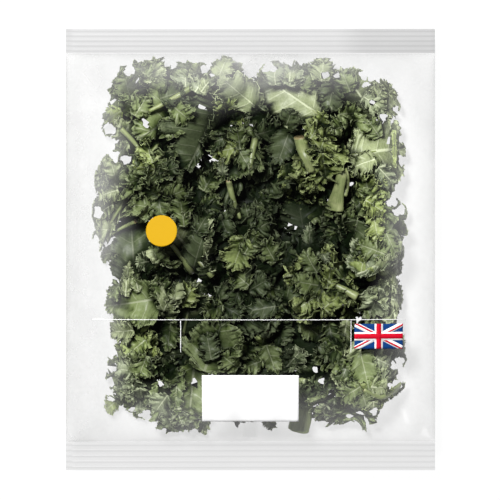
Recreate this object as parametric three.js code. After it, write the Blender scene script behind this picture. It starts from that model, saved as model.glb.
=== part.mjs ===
// A clear pillow bag of prepared curly kale, lying on its back. Millimetres, +Z up.
// The origin is the middle of the face that the bag lies on, and +Y runs to the top seal.
// The bag is one sleeve of film with a lapped seam down its back and a crimped seal at each end.
// The kale inside is chopped leaf pieces, settled one on another from the back film upwards.
import * as THREE from "three";

// Bag
const BAG_WIDTH = 250;
const BAG_LENGTH = 299;
const TOP_SEAL_WIDTH = 16.5;
const BOTTOM_SEAL_WIDTH = 19;
const FILM = 0.4;
const SEAL_HEIGHT = 20; // the seals and side folds, above the surface
const CROWN_RISE = 37; // the front, above the seals
const BELLY_DROP = 30; // the back, below the seals, before the surface flattens it
const SLEEVE_MOUTH = 1.4; // the sleeve's outer height where a seal starts
const ACROSS_POWER = 2.8; // how square the bag is from fold to fold
const ALONG_POWER = 2.8; // and from seal to seal
const ALONG_ROUNDNESS = 0.5;
const JOINT_GAP = 0.3; // between the sleeve and each seal
const SEAL_BODY = 0.8; // two layers of film, pressed together
const CRIMP_HEIGHT = 0.45;
const CRIMP_PITCH = 3.3;

// Lapped seam down the back, set into the film so that both lie flush on the surface
const SEAM_WIDTH = 11;
const SEAM_THICKNESS = 0.5;
const SEAM_CHANNEL = 1; // how far the film over the seam is raised
const SEAM_CHANNEL_HALF = 6.6;
const SEAM_CHANNEL_FOOT = 8.2;

// Kale
const LEAF = 1.4; // a frilled blade's mean thickness
const STALK_BASE = 1.2;
const RIB_HALF = 2.2;
const HEAP_GAP = 1.5; // the least height between a piece and what it lies on
const HEAP_CELL = 2; // grid on which pieces settle
const DRAPE_REACH = 2; // cells
const DRAPE_ROUNDS = 3;
const MARGIN_LOBE = 0.13;
const MARGIN_RIPPLE = 1.2;

const FILM_COLOUR = 0xe9edef;
const DARK_GREEN = 0x2f4a22;
const MID_GREEN = 0x4d6b2f;
const PALE_GREEN = 0x9fae7c;
const STALK_GREEN = 0xb9c48a;

const halfWidth = BAG_WIDTH / 2;
const sleeveTop = BAG_LENGTH / 2 - TOP_SEAL_WIDTH - JOINT_GAP;
const sleeveBottom = -BAG_LENGTH / 2 + BOTTOM_SEAL_WIDTH + JOINT_GAP;
const sleeveMiddle = (sleeveTop + sleeveBottom) / 2;
const sleeveHalf = (sleeveTop - sleeveBottom) / 2;

// How full the bag is at a point, from 0 at a seal or fold to 1 in the middle.
function fullness(x, y) {
  const across = 1 - Math.min(1, Math.abs(x / halfWidth)) ** ACROSS_POWER;
  const along = 1 - Math.min(1, Math.abs((y - sleeveMiddle) / sleeveHalf)) ** ALONG_POWER;
  return Math.sqrt(across) * along ** ALONG_ROUNDNESS;
}

const frontHeight = (x, y) => SEAL_HEIGHT + SLEEVE_MOUTH / 2 + CROWN_RISE * fullness(x, y);
const backHeight = (x, y) =>
  Math.max(0, SEAL_HEIGHT - SLEEVE_MOUTH / 2 - BELLY_DROP * fullness(x, y));

// Closed solid from rings of points that follow each other. The last ring joins the first.
// From the ring numbered `turned` on, faces are split along their other diagonal.
function closedRings(rings, turned = rings.length) {
  const count = rings[0].length;
  const position = rings.flat().flat();
  const index = [];
  rings.forEach((_, r) => {
    const a = r * count;
    const b = ((r + 1) % rings.length) * count;
    for (let i = 0; i < count; i++) {
      const j = (i + 1) % count;
      if (r < turned) index.push(a + i, b + i, b + j, a + i, b + j, a + j);
      else index.push(a + i, b + i, a + j, a + j, b + i, b + j);
    }
  });
  return geometryOf(position, index);
}

function geometryOf(position, index) {
  const geometry = new THREE.BufferGeometry();
  geometry.setAttribute("position", new THREE.Float32BufferAttribute(position, 3));
  geometry.setIndex(index);
  geometry.computeVertexNormals();
  return geometry;
}

// Values from -half to half, closer together towards both ends.
function stationsTowardsEnds(half, perSide) {
  const stations = [];
  for (let k = -perSide; k <= perSide; k++) stations.push(half * Math.sin((k / perSide) * (Math.PI / 2)));
  return stations;
}

const SECTION_POINTS_PER_SIDE = 8;

// The sleeve's outer outline at one y, from the right fold over the front and back underneath.
function sleeveSection(y) {
  const perSide = SECTION_POINTS_PER_SIDE;
  const across = stationsTowardsEnds(halfWidth, perSide);
  const front = across.map((x) => [x, frontHeight(x, y)]).reverse();
  const channel = [-SEAM_CHANNEL_FOOT, -SEAM_CHANNEL_HALF, SEAM_CHANNEL_HALF, SEAM_CHANNEL_FOOT];
  const back = [...across.slice(0, perSide), ...channel, ...across.slice(perSide + 1)].map((x) => [
    x,
    backHeight(x, y) + (Math.abs(x) <= SEAM_CHANNEL_HALF ? channelRise(y) : 0),
  ]);
  return [...front, ...back];
}

// The film over the seam is raised along the back, less so at the flat sleeve ends.
function channelRise(y) {
  const room = frontHeight(0, y) - backHeight(0, y) - SLEEVE_MOUTH;
  return Math.min(SEAM_CHANNEL, room / 2);
}

// The same outline moved inwards by the film's thickness: the front down, the back up, and both folds in.
function innerSection(section) {
  const narrowed = (halfWidth - FILM) / halfWidth;
  const pointsInFront = 2 * SECTION_POINTS_PER_SIDE + 1;
  return section.map(([x, z], i) => [x * narrowed, z + (i < pointsInFront ? -FILM : FILM)]);
}

const sleeveYs = stationsTowardsEnds(sleeveHalf, 8).map((y) => y + sleeveMiddle);

// The inner rings split their faces as the outer ones do, so the thin walls never cross.
function sleeve() {
  const at = (section, y) => section.map(([x, z]) => [x, y, z]);
  const outer = sleeveYs.map((y) => at(sleeveSection(y), y));
  const inner = sleeveYs.map((y) => at(innerSection(sleeveSection(y)), y)).reverse();
  return closedRings([...outer, ...inner], outer.length);
}

// Crimped seal: ribs run from fold to fold, on both faces.
function sealStrip(width) {
  const ribs = Math.floor(width / CRIMP_PITCH);
  const pitch = width / ribs;
  const shape = new THREE.Shape();
  const half = SEAL_BODY / 2;
  shape.moveTo(0, half);
  for (let i = 0; i < ribs; i++) {
    shape.lineTo((i + 0.3) * pitch, half);
    shape.lineTo((i + 0.5) * pitch, half + CRIMP_HEIGHT);
    shape.lineTo((i + 0.7) * pitch, half);
  }
  shape.lineTo(width, half);
  shape.lineTo(width, -half);
  for (let i = ribs - 1; i >= 0; i--) {
    shape.lineTo((i + 0.7) * pitch, -half);
    shape.lineTo((i + 0.5) * pitch, -half + CRIMP_HEIGHT);
    shape.lineTo((i + 0.3) * pitch, -half);
  }
  shape.lineTo(0, -half);
  shape.closePath();
  const geometry = new THREE.ExtrudeGeometry(shape, { depth: BAG_WIDTH, bevelEnabled: false, steps: 1 });
  geometry.translate(0, 0, -BAG_WIDTH / 2);
  geometry.rotateY(Math.PI / 2);
  geometry.rotateX(Math.PI / 2);
  return geometry;
}

// The lapped seam: a flat strip that follows the back film from seal to seal.
function seam() {
  const half = SEAM_WIDTH / 2;
  const rings = sleeveYs.slice(1, -1).map((y) => {
    const z = backHeight(0, y);
    return [
      [-half, y, z],
      [half, y, z],
      [half, y, z + SEAM_THICKNESS],
      [-half, y, z + SEAM_THICKNESS],
    ];
  });
  return flatSkin(rings);
}

// A piece's half widths at even steps from its cut base to its tip, as shares of half its width.
const evenSides = (shares) => ({ left: shares, right: shares });
const BLADE = { ...evenSides([0.4, 0.82, 1, 0.96, 0.78, 0.42]), rib: 2.2, colour: MID_GREEN };
const FAN = { ...evenSides([0.26, 0.58, 0.86, 1, 0.95, 0.62]), rib: 1.2, colour: DARK_GREEN };
const SIDE = {
  left: [0.24, 0.3, 0.36, 0.32, 0.26, 0.18],
  right: [0.7, 1.3, 1.6, 1.55, 1.25, 0.7],
  rib: 1.8,
  colour: PALE_GREEN,
};
const STALKED = { ...evenSides([0.2, 0.22, 0.66, 1, 0.94, 0.55]), rib: 4, colour: PALE_GREEN };
const STALK = { ...evenSides([0.95, 0.86, 0.8, 0.8, 0.88, 1]), rib: 5, colour: STALK_GREEN };

// Each placed piece: name, outline, centre x and y, heading of its tip, length, width, then the rise
// in millimetres of its tip, of its left side, of both margins, and of its middle.
// The order is the order in which they lie, the lowest first.
const PLACED = [
  ["dark_frill_centre_top", FAN, 15, 59, 70, 56, 45, 2, -2, 3, 2],
  ["dark_blade_right", BLADE, 67, 15, 250, 53, 38, -2, 3, 3, 2],
  ["round_blade_left", BLADE, -80, 0, 95, 50, 37, 2, -2, -2, 3],
  ["dark_frill_left_top", FAN, -31, 39, 200, 51, 42, 2, 2, 3, 2],
  ["frill_top_right_of_centre", FAN, 27, 110, 85, 34, 42, 1, 2, 3, 1],
  ["dark_blade_top_left", BLADE, -58, 66, 325, 38, 30, -1, 2, 1, 1],
  ["dark_frill_centre", FAN, 1, 3, 140, 53, 45, 2, 3, 3, 2],
  ["dark_frill_lower_centre", FAN, -6, -40, 20, 54, 42, 3, -2, 3, 2],
  ["dark_blade_lower_right", BLADE, 53, -84, 215, 53, 35, -2, 3, 2, 2],
  ["frill_right_low", FAN, 92, -71, 15, 37, 37, 1, 2, 3, 1],
  ["smooth_blade_lower_left", BLADE, -71, -97, 250, 38, 34, 1, 2, 2, 2],
  ["dark_frill_right_edge", FAN, 87, -34, 340, 39, 35, 1, -2, 3, 2],
  ["frill_top_left_corner", FAN, -81, 111, 150, 33, 31, 1, 2, 3, 1],
  ["blade_top_left", BLADE, -61, 109, 102, 37, 30, 1, -2, 3, 2],
  ["frill_top", FAN, -42, 111, 82, 30, 28, 1, 2, 3, 1],
  ["frill_upper_left_edge", FAN, -84, 93, 192, 38, 28, 2, 2, 4, 2],
  ["pale_blade_upper_left", BLADE, -80, 72, 128, 38, 24, 2, 3, -3, 2],
  ["tip_top_centre", FAN, -17, 114, 98, 28, 24, 1, 3, 3, 1],
  ["long_rib_blade_top_left", SIDE, -50, 90, 210, 54, 39, -2, 2, -2, 2],
  ["folded_blade_left_of_centre", SIDE, -32, 76, 245, 46, 34, 2, 2, -3, 2],
  ["pale_edge_frill_left", FAN, -95, 48, 168, 37, 30, 1, 2, 3, 1],
  ["pale_rib_blade_left_edge", SIDE, -97, 19, 230, 45, 27, 1, 2, 3, 2],
  ["blade_tip_top_right", BLADE, 49, 116, 100, 26, 27, 1, 2, -2, 1],
  ["tip_far_top_right", FAN, 93, 103, 55, 28, 27, 1, 2, 3, 1],
  ["folded_blade_top_right", BLADE, 74, 106, 125, 38, 33, 2, -3, -4, 2],
  ["frill_right_upper", FAN, 96, 16, 60, 37, 33, 2, -2, 4, 2],
  ["frill_right_inner", FAN, 80, 30, 280, 41, 35, 2, 3, 4, 2],
  ["pale_strip_right_edge", SIDE, 99, -27, 275, 42, 23, 1, 2, -2, 1],
  ["frill_left_of_centre", FAN, -63, 40, 150, 45, 45, 1, -1, 3, 2],
  ["blade_above_centre", BLADE, -9, 66, 245, 38, 34, 3, 3, 4, 3],
  ["bright_frill_lower_left", FAN, -77, -67, 115, 39, 31, 2, 2, 4, 2],
  ["frill_lower_left_edge", FAN, -82, -87, 165, 34, 35, 2, 2, 4, 1],
  ["broad_blade_left", BLADE, -79, -36, 190, 42, 34, 2, -2, -3, 3],
  ["stalked_blade_centre_left", STALKED, -41, 0, 130, 45, 42, 3, -3, 4, 3],
  ["frill_bottom_left", FAN, -56, -106, 285, 35, 33, 1, 2, 3, 1],
  ["rib_blade_bottom_left", BLADE, -40, -98, 265, 45, 26, 1, 2, -3, 2],
  ["pale_tip_lower_left", BLADE, -42, -40, 78, 35, 26, 3, 3, 3, 2],
  ["grey_blade_lower_centre", BLADE, -25, -65, 70, 37, 39, 2, -3, -3, 3],
  ["wide_stalk_bottom", STALK, 36, -106, 258, 37, 18, 0, 1, 1, 1],
  ["frill_bottom_right", FAN, 65, -103, 255, 39, 43, 1, 2, 4, 2],
  ["rib_blade_lower_right", BLADE, 77, -86, 335, 42, 37, 2, 3, -3, 3],
  ["stalked_tip_right_bottom", STALKED, 88, -99, 182, 39, 22, 1, 2, 2, 1],
  ["large_pale_blade_top", BLADE, 34, 99, 325, 65, 39, 2, 3, -5, 4],
  ["large_pale_blade_right", STALKED, 82, 66, 12, 57, 50, 2, -3, -4, 3],
  ["stalked_frill_upper_right", STALKED, 46, 61, 285, 53, 35, -3, 3, 5, 2],
  ["stalk_end_right_of_centre", STALK, 59, 39, 78, 27, 14, 1, 1, 1, 1],
  ["large_frill_right_of_centre", STALKED, 54, -26, 163, 56, 45, 3, 3, 5, 3],
  ["grey_folded_blade_right", SIDE, 90, -8, 205, 42, 33, 2, 3, -4, 3],
];

// Broad pieces that lie flat on the back film, under all the others: centre x and y of each.
const UNDER_PLACES = [[-50, -60], [-2, -88], [52, -66], [-44, -6], [8, -12], [58, -2], [6, 52], [60, 60]];
const UNDER_LENGTH = 64;
const UNDER_WIDTH = 52;
const UNDER_TURN = 67; // degrees from one to the next, so that no two lie alike

const underPieces = UNDER_PLACES.map(([x, y], n) => {
  const shape = n % 2 ? FAN : BLADE;
  return [`under_piece_${n + 1}`, shape, x, y, n * UNDER_TURN, UNDER_LENGTH, UNDER_WIDTH, 1, 1, 1, 1];
});

// One piece as a grid of points, in its own axes: u runs to the tip and v to its left.
function pieceGrid([, shape, , , , length, width, tipRise, sideRise, marginRise, middleRise], seed) {
  const last = shape.left.length - 1;
  const isStalk = shape === STALK;
  return shape.left.map((_, i) => {
    const along = i / last;
    const u = (along - 0.5) * length;
    const lobe = (side) => (isStalk ? 1 : 1 + MARGIN_LOBE * Math.sin(2.4 * i + side * 1.7 + seed));
    const left = (width / 2) * shape.left[i] * lobe(1);
    const right = (width / 2) * shape.right[i] * lobe(-1);
    const rib = Math.min(RIB_HALF, 0.45 * left, 0.45 * right);
    const vs = isStalk
      ? [-right, -0.8 * right, -0.45 * right, 0, 0.45 * left, 0.8 * left, left]
      : [-right, -0.62 * right, -rib, 0, rib, 0.62 * left, left];
    return vs.map((v, j) => {
      const out = Math.abs(v) / (width / 2);
      const atMargin = j === 0 || j === vs.length - 1;
      const ripple = atMargin && !isStalk ? MARGIN_RIPPLE * Math.sin(2.1 * i + j + seed) : 0;
      const rise =
        tipRise * (along - 0.5) +
        (sideRise * v) / width +
        marginRise * out ** 1.6 +
        middleRise * (1 - (2 * along - 1) ** 2) +
        ripple;
      const round = isStalk ? Math.sqrt(1 - Math.min(1, out / lobe(1)) ** 2) : j === 3 ? 1 : 0;
      const thickness = isStalk ? STALK_BASE + shape.rib * round : LEAF + shape.rib * (1 - 0.7 * along) * round;
      return { u, v, rise, thickness };
    });
  });
}

// The heap's height on a grid over the bag, which rises as pieces settle on it.
const columns = Math.ceil(BAG_WIDTH / HEAP_CELL);
const rows = Math.ceil(BAG_LENGTH / HEAP_CELL);
const cellX = (c) => (c + 0.5) * HEAP_CELL - BAG_WIDTH / 2;
const cellY = (r) => (r + 0.5) * HEAP_CELL - BAG_LENGTH / 2;
const heap = new Float64Array(columns * rows);
for (let r = 0; r < rows; r++) {
  for (let c = 0; c < columns; c++) {
    const channel = Math.abs(cellX(c)) < SEAM_CHANNEL_FOOT + HEAP_CELL ? SEAM_CHANNEL : 0;
    heap[r * columns + c] = backHeight(cellX(c), cellY(r)) + channel + FILM;
  }
}

// The heap's greatest height close to a point.
function heapNear(x, y) {
  const c = Math.floor((x + BAG_WIDTH / 2) / HEAP_CELL);
  const r = Math.floor((y + BAG_LENGTH / 2) / HEAP_CELL);
  let height = 0;
  for (let i = -DRAPE_REACH; i <= DRAPE_REACH; i++) {
    for (let j = -DRAPE_REACH; j <= DRAPE_REACH; j++) height = Math.max(height, heap[(r + i) * columns + c + j]);
  }
  return height;
}

// The heap's shape under a piece, smoothed as far as a leaf would bend to it.
function drapeOf(piece, grid) {
  let base = grid.map((row) => row.map((point) => heapNear(...placeXY(piece, point))));
  const at = (i, j) => base[Math.max(0, Math.min(base.length - 1, i))][Math.max(0, Math.min(base[0].length - 1, j))];
  for (let round = 0; round < DRAPE_ROUNDS; round++) {
    base = base.map((row, i) =>
      row.map((height, j) => (2 * height + at(i - 1, j) + at(i + 1, j) + at(i, j - 1) + at(i, j + 1)) / 6),
    );
  }
  return base;
}

function placeXY([, , x0, y0, heading], { u, v }) {
  const turn = THREE.MathUtils.degToRad(heading);
  return [x0 + u * Math.cos(turn) - v * Math.sin(turn), y0 + u * Math.sin(turn) + v * Math.cos(turn)];
}

// A piece's points in the bag, when it has been raised by lift over its drape.
function placePoints(piece, grid, base, lift) {
  const place = (point, i, j, extra) => [...placeXY(piece, point), base[i][j] + point.rise + lift + extra];
  return {
    under: grid.map((row, i) => row.map((point, j) => place(point, i, j, 0))),
    over: grid.map((row, i) => row.map((point, j) => place(point, i, j, point.thickness))),
  };
}

// Calls visit(cell, height) for each heap cell that a grid of points lies over.
function overCells(points, visit) {
  for (let i = 0; i + 1 < points.length; i++) {
    for (let j = 0; j + 1 < points[i].length; j++) {
      const [a, b, c, d] = [points[i][j], points[i + 1][j], points[i + 1][j + 1], points[i][j + 1]];
      cellsUnderTriangle(a, b, c, visit);
      cellsUnderTriangle(a, c, d, visit);
    }
  }
}

function cellsUnderTriangle(a, b, c, visit) {
  const area = (b[0] - a[0]) * (c[1] - a[1]) - (c[0] - a[0]) * (b[1] - a[1]);
  if (Math.abs(area) < 1e-6) return;
  const xs = [a[0], b[0], c[0]];
  const ys = [a[1], b[1], c[1]];
  const column = (x) => Math.floor((x + BAG_WIDTH / 2) / HEAP_CELL);
  const row = (y) => Math.floor((y + BAG_LENGTH / 2) / HEAP_CELL);
  for (let r = row(Math.min(...ys)) - 1; r <= row(Math.max(...ys)) + 1; r++) {
    for (let q = column(Math.min(...xs)) - 1; q <= column(Math.max(...xs)) + 1; q++) {
      const [x, y] = [cellX(q), cellY(r)];
      const wb = ((x - a[0]) * (c[1] - a[1]) - (c[0] - a[0]) * (y - a[1])) / area;
      const wc = ((b[0] - a[0]) * (y - a[1]) - (x - a[0]) * (b[1] - a[1])) / area;
      const wa = 1 - wb - wc;
      const slack = Math.min(1, (1.2 * HEAP_CELL * Math.max(spanOf(xs), spanOf(ys))) / Math.abs(area));
      if (Math.min(wa, wb, wc) < -slack) continue;
      const [ka, kb, kc] = [wa, wb, wc].map((w) => Math.max(0, w));
      const sum = ka + kb + kc;
      visit(r * columns + q, (ka * a[2] + kb * b[2] + kc * c[2]) / sum);
    }
  }
}

const spanOf = (values) => Math.max(...values) - Math.min(...values);

// Lays a piece on the heap, as low as it goes, then adds it to the heap.
function settle(piece, seed) {
  const grid = pieceGrid(piece, seed);
  const base = drapeOf(piece, grid);
  let lift = -Infinity;
  overCells(placePoints(piece, grid, base, 0).under, (cell, height) => {
    lift = Math.max(lift, heap[cell] + HEAP_GAP - height);
  });
  const points = placePoints(piece, grid, base, lift);
  overCells(points.over, (cell, height) => {
    heap[cell] = Math.max(heap[cell], height);
  });
  return points;
}

// The settled points as a closed solid, in axes of its own that stand at its centre.
function pieceMesh(piece, seed) {
  const [name, shape, x0, y0, heading] = piece;
  const { under, over } = settle(piece, seed);
  const z0 = under[0][0][2];
  const turn = THREE.MathUtils.degToRad(heading);
  const local = ([x, y, z]) => [
    (x - x0) * Math.cos(turn) + (y - y0) * Math.sin(turn),
    -(x - x0) * Math.sin(turn) + (y - y0) * Math.cos(turn),
    z - z0,
  ];
  const rings = under.map((row, i) => [...row.map(local).reverse(), ...over[i].map(local)]);
  const mesh = new THREE.Mesh(flatSkin(rings), leafMaterial(shape.colour));
  mesh.name = name;
  mesh.position.set(x0, y0, z0);
  mesh.rotation.z = turn;
  return mesh;
}

// Sides around the rings, and a strip of quads over each end, where under and over points pair up.
function flatSkin(rings) {
  const count = rings[0].length;
  const index = [];
  for (let r = 0; r + 1 < rings.length; r++) {
    for (let i = 0; i < count; i++) {
      const j = (i + 1) % count;
      const a = r * count;
      const b = a + count;
      index.push(a + i, b + j, a + j, a + i, b + i, b + j);
    }
  }
  const last = (rings.length - 1) * count;
  for (let i = 0; i + 1 < count / 2; i++) {
    const [p, q, r, s] = [i, i + 1, count - 2 - i, count - 1 - i];
    index.push(p, q, r, p, r, s);
    index.push(last + p, last + r, last + q, last + p, last + s, last + r);
  }
  return geometryOf(rings.flat().flat(), index);
}

const leafMaterial = (colour) => new THREE.MeshStandardMaterial({ color: colour, roughness: 0.6, metalness: 0 });
const filmMaterial = () =>
  new THREE.MeshStandardMaterial({ color: FILM_COLOUR, roughness: 0.2, metalness: 0, transparent: true, opacity: 0.3 });

function filmMesh(name, geometry, x, y, z) {
  const mesh = new THREE.Mesh(geometry, filmMaterial());
  mesh.name = name;
  mesh.position.set(x, y, z);
  return mesh;
}

const bag = new THREE.Group();
bag.add(filmMesh("film_sleeve", sleeve(), 0, 0, 0));
bag.add(filmMesh("back_seam", seam(), 0, 0, 0));
bag.add(filmMesh("top_seal", sealStrip(TOP_SEAL_WIDTH), 0, BAG_LENGTH / 2 - TOP_SEAL_WIDTH, SEAL_HEIGHT));
bag.add(filmMesh("bottom_seal", sealStrip(BOTTOM_SEAL_WIDTH), 0, -BAG_LENGTH / 2, SEAL_HEIGHT));

const kale = new THREE.Group();
[...underPieces, ...PLACED].forEach((piece, n) => kale.add(pieceMesh(piece, n)));

const root = new THREE.Group();
root.add(bag, kale);
export default root;
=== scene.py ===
"""The looks of a clear pillow bag of curly kale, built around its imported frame."""

import math
from collections import namedtuple

import bmesh
import bpy
import numpy as np
from bpy.props import FloatProperty, FloatVectorProperty, IntProperty, PointerProperty
from bpy.types import Operator, Panel, PropertyGroup
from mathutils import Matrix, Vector


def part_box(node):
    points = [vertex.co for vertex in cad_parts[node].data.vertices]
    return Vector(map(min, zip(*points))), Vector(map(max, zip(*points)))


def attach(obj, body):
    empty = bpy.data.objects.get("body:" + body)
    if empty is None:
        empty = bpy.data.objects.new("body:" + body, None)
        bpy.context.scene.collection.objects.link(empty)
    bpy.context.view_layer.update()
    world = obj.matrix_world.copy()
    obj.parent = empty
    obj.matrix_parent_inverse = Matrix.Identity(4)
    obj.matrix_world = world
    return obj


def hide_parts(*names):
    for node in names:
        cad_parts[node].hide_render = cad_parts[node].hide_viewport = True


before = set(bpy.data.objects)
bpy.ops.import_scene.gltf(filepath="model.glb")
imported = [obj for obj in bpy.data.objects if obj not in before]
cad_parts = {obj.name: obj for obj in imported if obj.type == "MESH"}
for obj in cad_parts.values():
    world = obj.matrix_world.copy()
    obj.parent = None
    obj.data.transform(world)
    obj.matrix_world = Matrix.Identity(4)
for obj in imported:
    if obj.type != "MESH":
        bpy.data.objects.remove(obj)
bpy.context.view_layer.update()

bl_info = {
    "name": "Curly Kale Bag",
    "version": (1, 0, 0),
    "blender": (4, 5, 0),
    "location": "3D View > Sidebar > Kale Bag",
    "description": "Builds a clear pillow bag of curly kale on its packed frame",
    "category": "Object",
}

MM = 0.001

# The view from overhead, in millimetres: the camera's height, how many steps the view is across
# and down, the size of a step at the seals' height, and how far the view's middle lies to the left
# of the bag's and below it.
CAMERA_HEIGHT = 1800.0
VIEW_STEPS = 500
VIEW_STEP = 0.6775
VIEW_SHIFT = 0.34

# The bag's form, in millimetres. The sleeve's surface follows the same rule as its solid.
SLEEVE_LOW, SLEEVE_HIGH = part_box("film_sleeve")
HALF_WIDTH = round(SLEEVE_HIGH.x / MM, 1)
SLEEVE_TOP = round(SLEEVE_HIGH.y / MM, 1)
SLEEVE_BOTTOM = round(SLEEVE_LOW.y / MM, 1)
SLEEVE_MIDDLE = (SLEEVE_TOP + SLEEVE_BOTTOM) / 2
SLEEVE_HALF = (SLEEVE_TOP - SLEEVE_BOTTOM) / 2
SEAL_HEIGHT = 20.0  # the seals and side folds, above the surface
MOUTH_HALF = 0.7  # half the sleeve's height where a seal starts
CROWN_RISE = 37.0  # the front, above the seals
BELLY_DROP = 30.0  # the back, below the seals, before the surface flattens it
ACROSS_POWER = 2.8  # how square the bag is from fold to fold
ALONG_POWER = 2.8  # and from seal to seal
ALONG_ROUNDNESS = 0.5


def fullness(x, y):
    """How full the bag is at a point, from 0 at a seal or fold to 1 in the middle."""
    across = 1 - np.clip(np.abs(x) / HALF_WIDTH, 0, 1) ** ACROSS_POWER
    along = 1 - np.clip(np.abs(y - SLEEVE_MIDDLE) / SLEEVE_HALF, 0, 1) ** ALONG_POWER
    return np.sqrt(across) * along**ALONG_ROUNDNESS


def front_height(x, y):
    """The front film's height at a point, in millimetres."""
    return SEAL_HEIGHT + MOUTH_HALF + CROWN_RISE * fullness(x, y)


def back_height(x, y):
    """The back film's height at a point, in millimetres."""
    return np.maximum(0, SEAL_HEIGHT - MOUTH_HALF - BELLY_DROP * fullness(x, y))


def ramp(x, low, high):
    """Smooth step from 0 at low to 1 at high."""
    t = np.clip((x - low) / (high - low), 0, 1)
    return t * t * (3 - 2 * t)


# ---------------------------------------------------------------- properties


def length_property(name, description, default):
    """A length in the unit of the scene, with its default given in millimetres."""
    return FloatProperty(
        name=name, description=description, default=default * MM, min=0.0, precision=5, unit="LENGTH"
    )


def colour_property(name, description, default):
    """A linear colour."""
    return FloatVectorProperty(
        name=name, description=description, default=default, size=3, min=0.0, max=1.0, subtype="COLOR"
    )


def strength_property(name, description, default):
    """The strength of a light."""
    return FloatProperty(name=name, description=description, default=default, min=0.0)


def share_property(name, description, default):
    """A share, from 0 to 1."""
    return FloatProperty(name=name, description=description, default=default, min=0.0, max=1.0)


class KaleProperties(PropertyGroup):
    """Sizes and colours of the kale."""

    leaf_thickness: length_property("Leaf thickness", "Thickness of a leaf's blade", 0.5)
    long_ruffle: length_property("Long ruffle", "Wavelength of the widest ruffles of a margin", 11.0)
    middle_ruffle: length_property("Middle ruffle", "Wavelength of the ruffles on those", 3.7)
    fine_ruffle: length_property("Fine ruffle", "Wavelength of the finest ruffles", 1.8)
    # Painted shade: the deep and dark leaves are darker copies of the green leaf, for pieces low in the
    # heap.
    deep: colour_property("Deep leaf", "Leaf at the bottom of the heap", (0.013, 0.021, 0.0075))
    dark: colour_property("Dark leaf", "Upper side of a leaf deep in the heap", (0.029, 0.046, 0.011))
    green: colour_property("Green leaf", "Upper side of a leaf", (0.076, 0.106, 0.024))
    bright: colour_property("Bright leaf", "Young yellow-green leaf", (0.168, 0.212, 0.045))
    pale: colour_property("Pale leaf", "Underside of a leaf", (0.15, 0.18, 0.075))
    grey: colour_property("Grey leaf", "Bloomed underside of a leaf", (0.11, 0.136, 0.068))
    vein: colour_property("Vein", "Ribs and veins", (0.6, 0.64, 0.44))
    stalk: colour_property("Stalk", "Thick stalks", (0.3, 0.36, 0.14))


class FilmProperties(PropertyGroup):
    """Sizes and colours of the film and its seals."""

    tint: colour_property("Film tint", "Colour of the film's haze", (0.735, 0.735, 0.73))
    clear: share_property("Clear haze", "Opacity where the film is clearest", 0.02)
    milky: share_property("Milky haze", "Opacity added along the folds and the seals", 0.26)
    seal_thickness: length_property("Seal thickness", "Two layers of film, pressed together", 0.5)
    crimp_height: length_property("Crimp height", "Height of a crimp line", 0.25)
    crimp_lines: IntProperty(name="Crimp lines", description="Lines across a seal", default=5, min=1)


class PrintProperties(PropertyGroup):
    """Sizes and colours of the printed marks."""

    white: colour_property("White", "White print", (0.96, 0.96, 0.96))
    badge: colour_property("Badge", "Round badge", (0.52, 0.3, 0.002))
    flag_blue: colour_property("Flag blue", "Blue of the flag", (0.004, 0.045, 0.19))
    flag_red: colour_property("Flag red", "Red of the flag", (0.6, 0.003, 0.021))


class StageProperties(PropertyGroup):
    """The camera and the lights."""

    view_width: length_property("View width", "Width seen at the seals' height", VIEW_STEPS * VIEW_STEP)
    camera_height: length_property("Camera height", "Camera above the surface", CAMERA_HEIGHT)
    key_power: strength_property("Key power", "Power of the main light", 44.0)
    fill_power: strength_property("Fill power", "Power of the second light", 0.6)
    sky_strength: strength_property("Sky", "Light from all round", 0.12)
    backdrop: strength_property("Backdrop", "How pale the far background is", 0.92)


# ------------------------------------------------------------------ finishes


class Value:
    """A shader value. Arithmetic on it adds Math nodes to its finish."""

    def __init__(self, finish, socket):
        self.finish = finish
        self.socket = socket

    def maths(self, operation, first, second=None):
        inputs = {0: first} if second is None else {0: first, 1: second}
        return self.finish.node("ShaderNodeMath", {"operation": operation}, inputs)["Value"]

    def __add__(self, other):
        return self.maths("ADD", self, other)

    def __radd__(self, other):
        return self.maths("ADD", other, self)

    def __sub__(self, other):
        return self.maths("SUBTRACT", self, other)

    def __rsub__(self, other):
        return self.maths("SUBTRACT", other, self)

    def __mul__(self, other):
        return self.maths("MULTIPLY", self, other)

    def __rmul__(self, other):
        return self.maths("MULTIPLY", other, self)

    def __truediv__(self, other):
        return self.maths("DIVIDE", self, other)

    def __rtruediv__(self, other):
        return self.maths("DIVIDE", other, self)

    def __abs__(self):
        return self.maths("ABSOLUTE", self)

    def greater(self, other):
        return self.maths("MAXIMUM", self, other)

    def lesser(self, other):
        return self.maths("MINIMUM", self, other)


class Outputs:
    """The outputs of a node, by name."""

    def __init__(self, finish, node):
        self.finish = finish
        self.node = node

    def __getitem__(self, name):
        return Value(self.finish, self.node.outputs[name])


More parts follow.
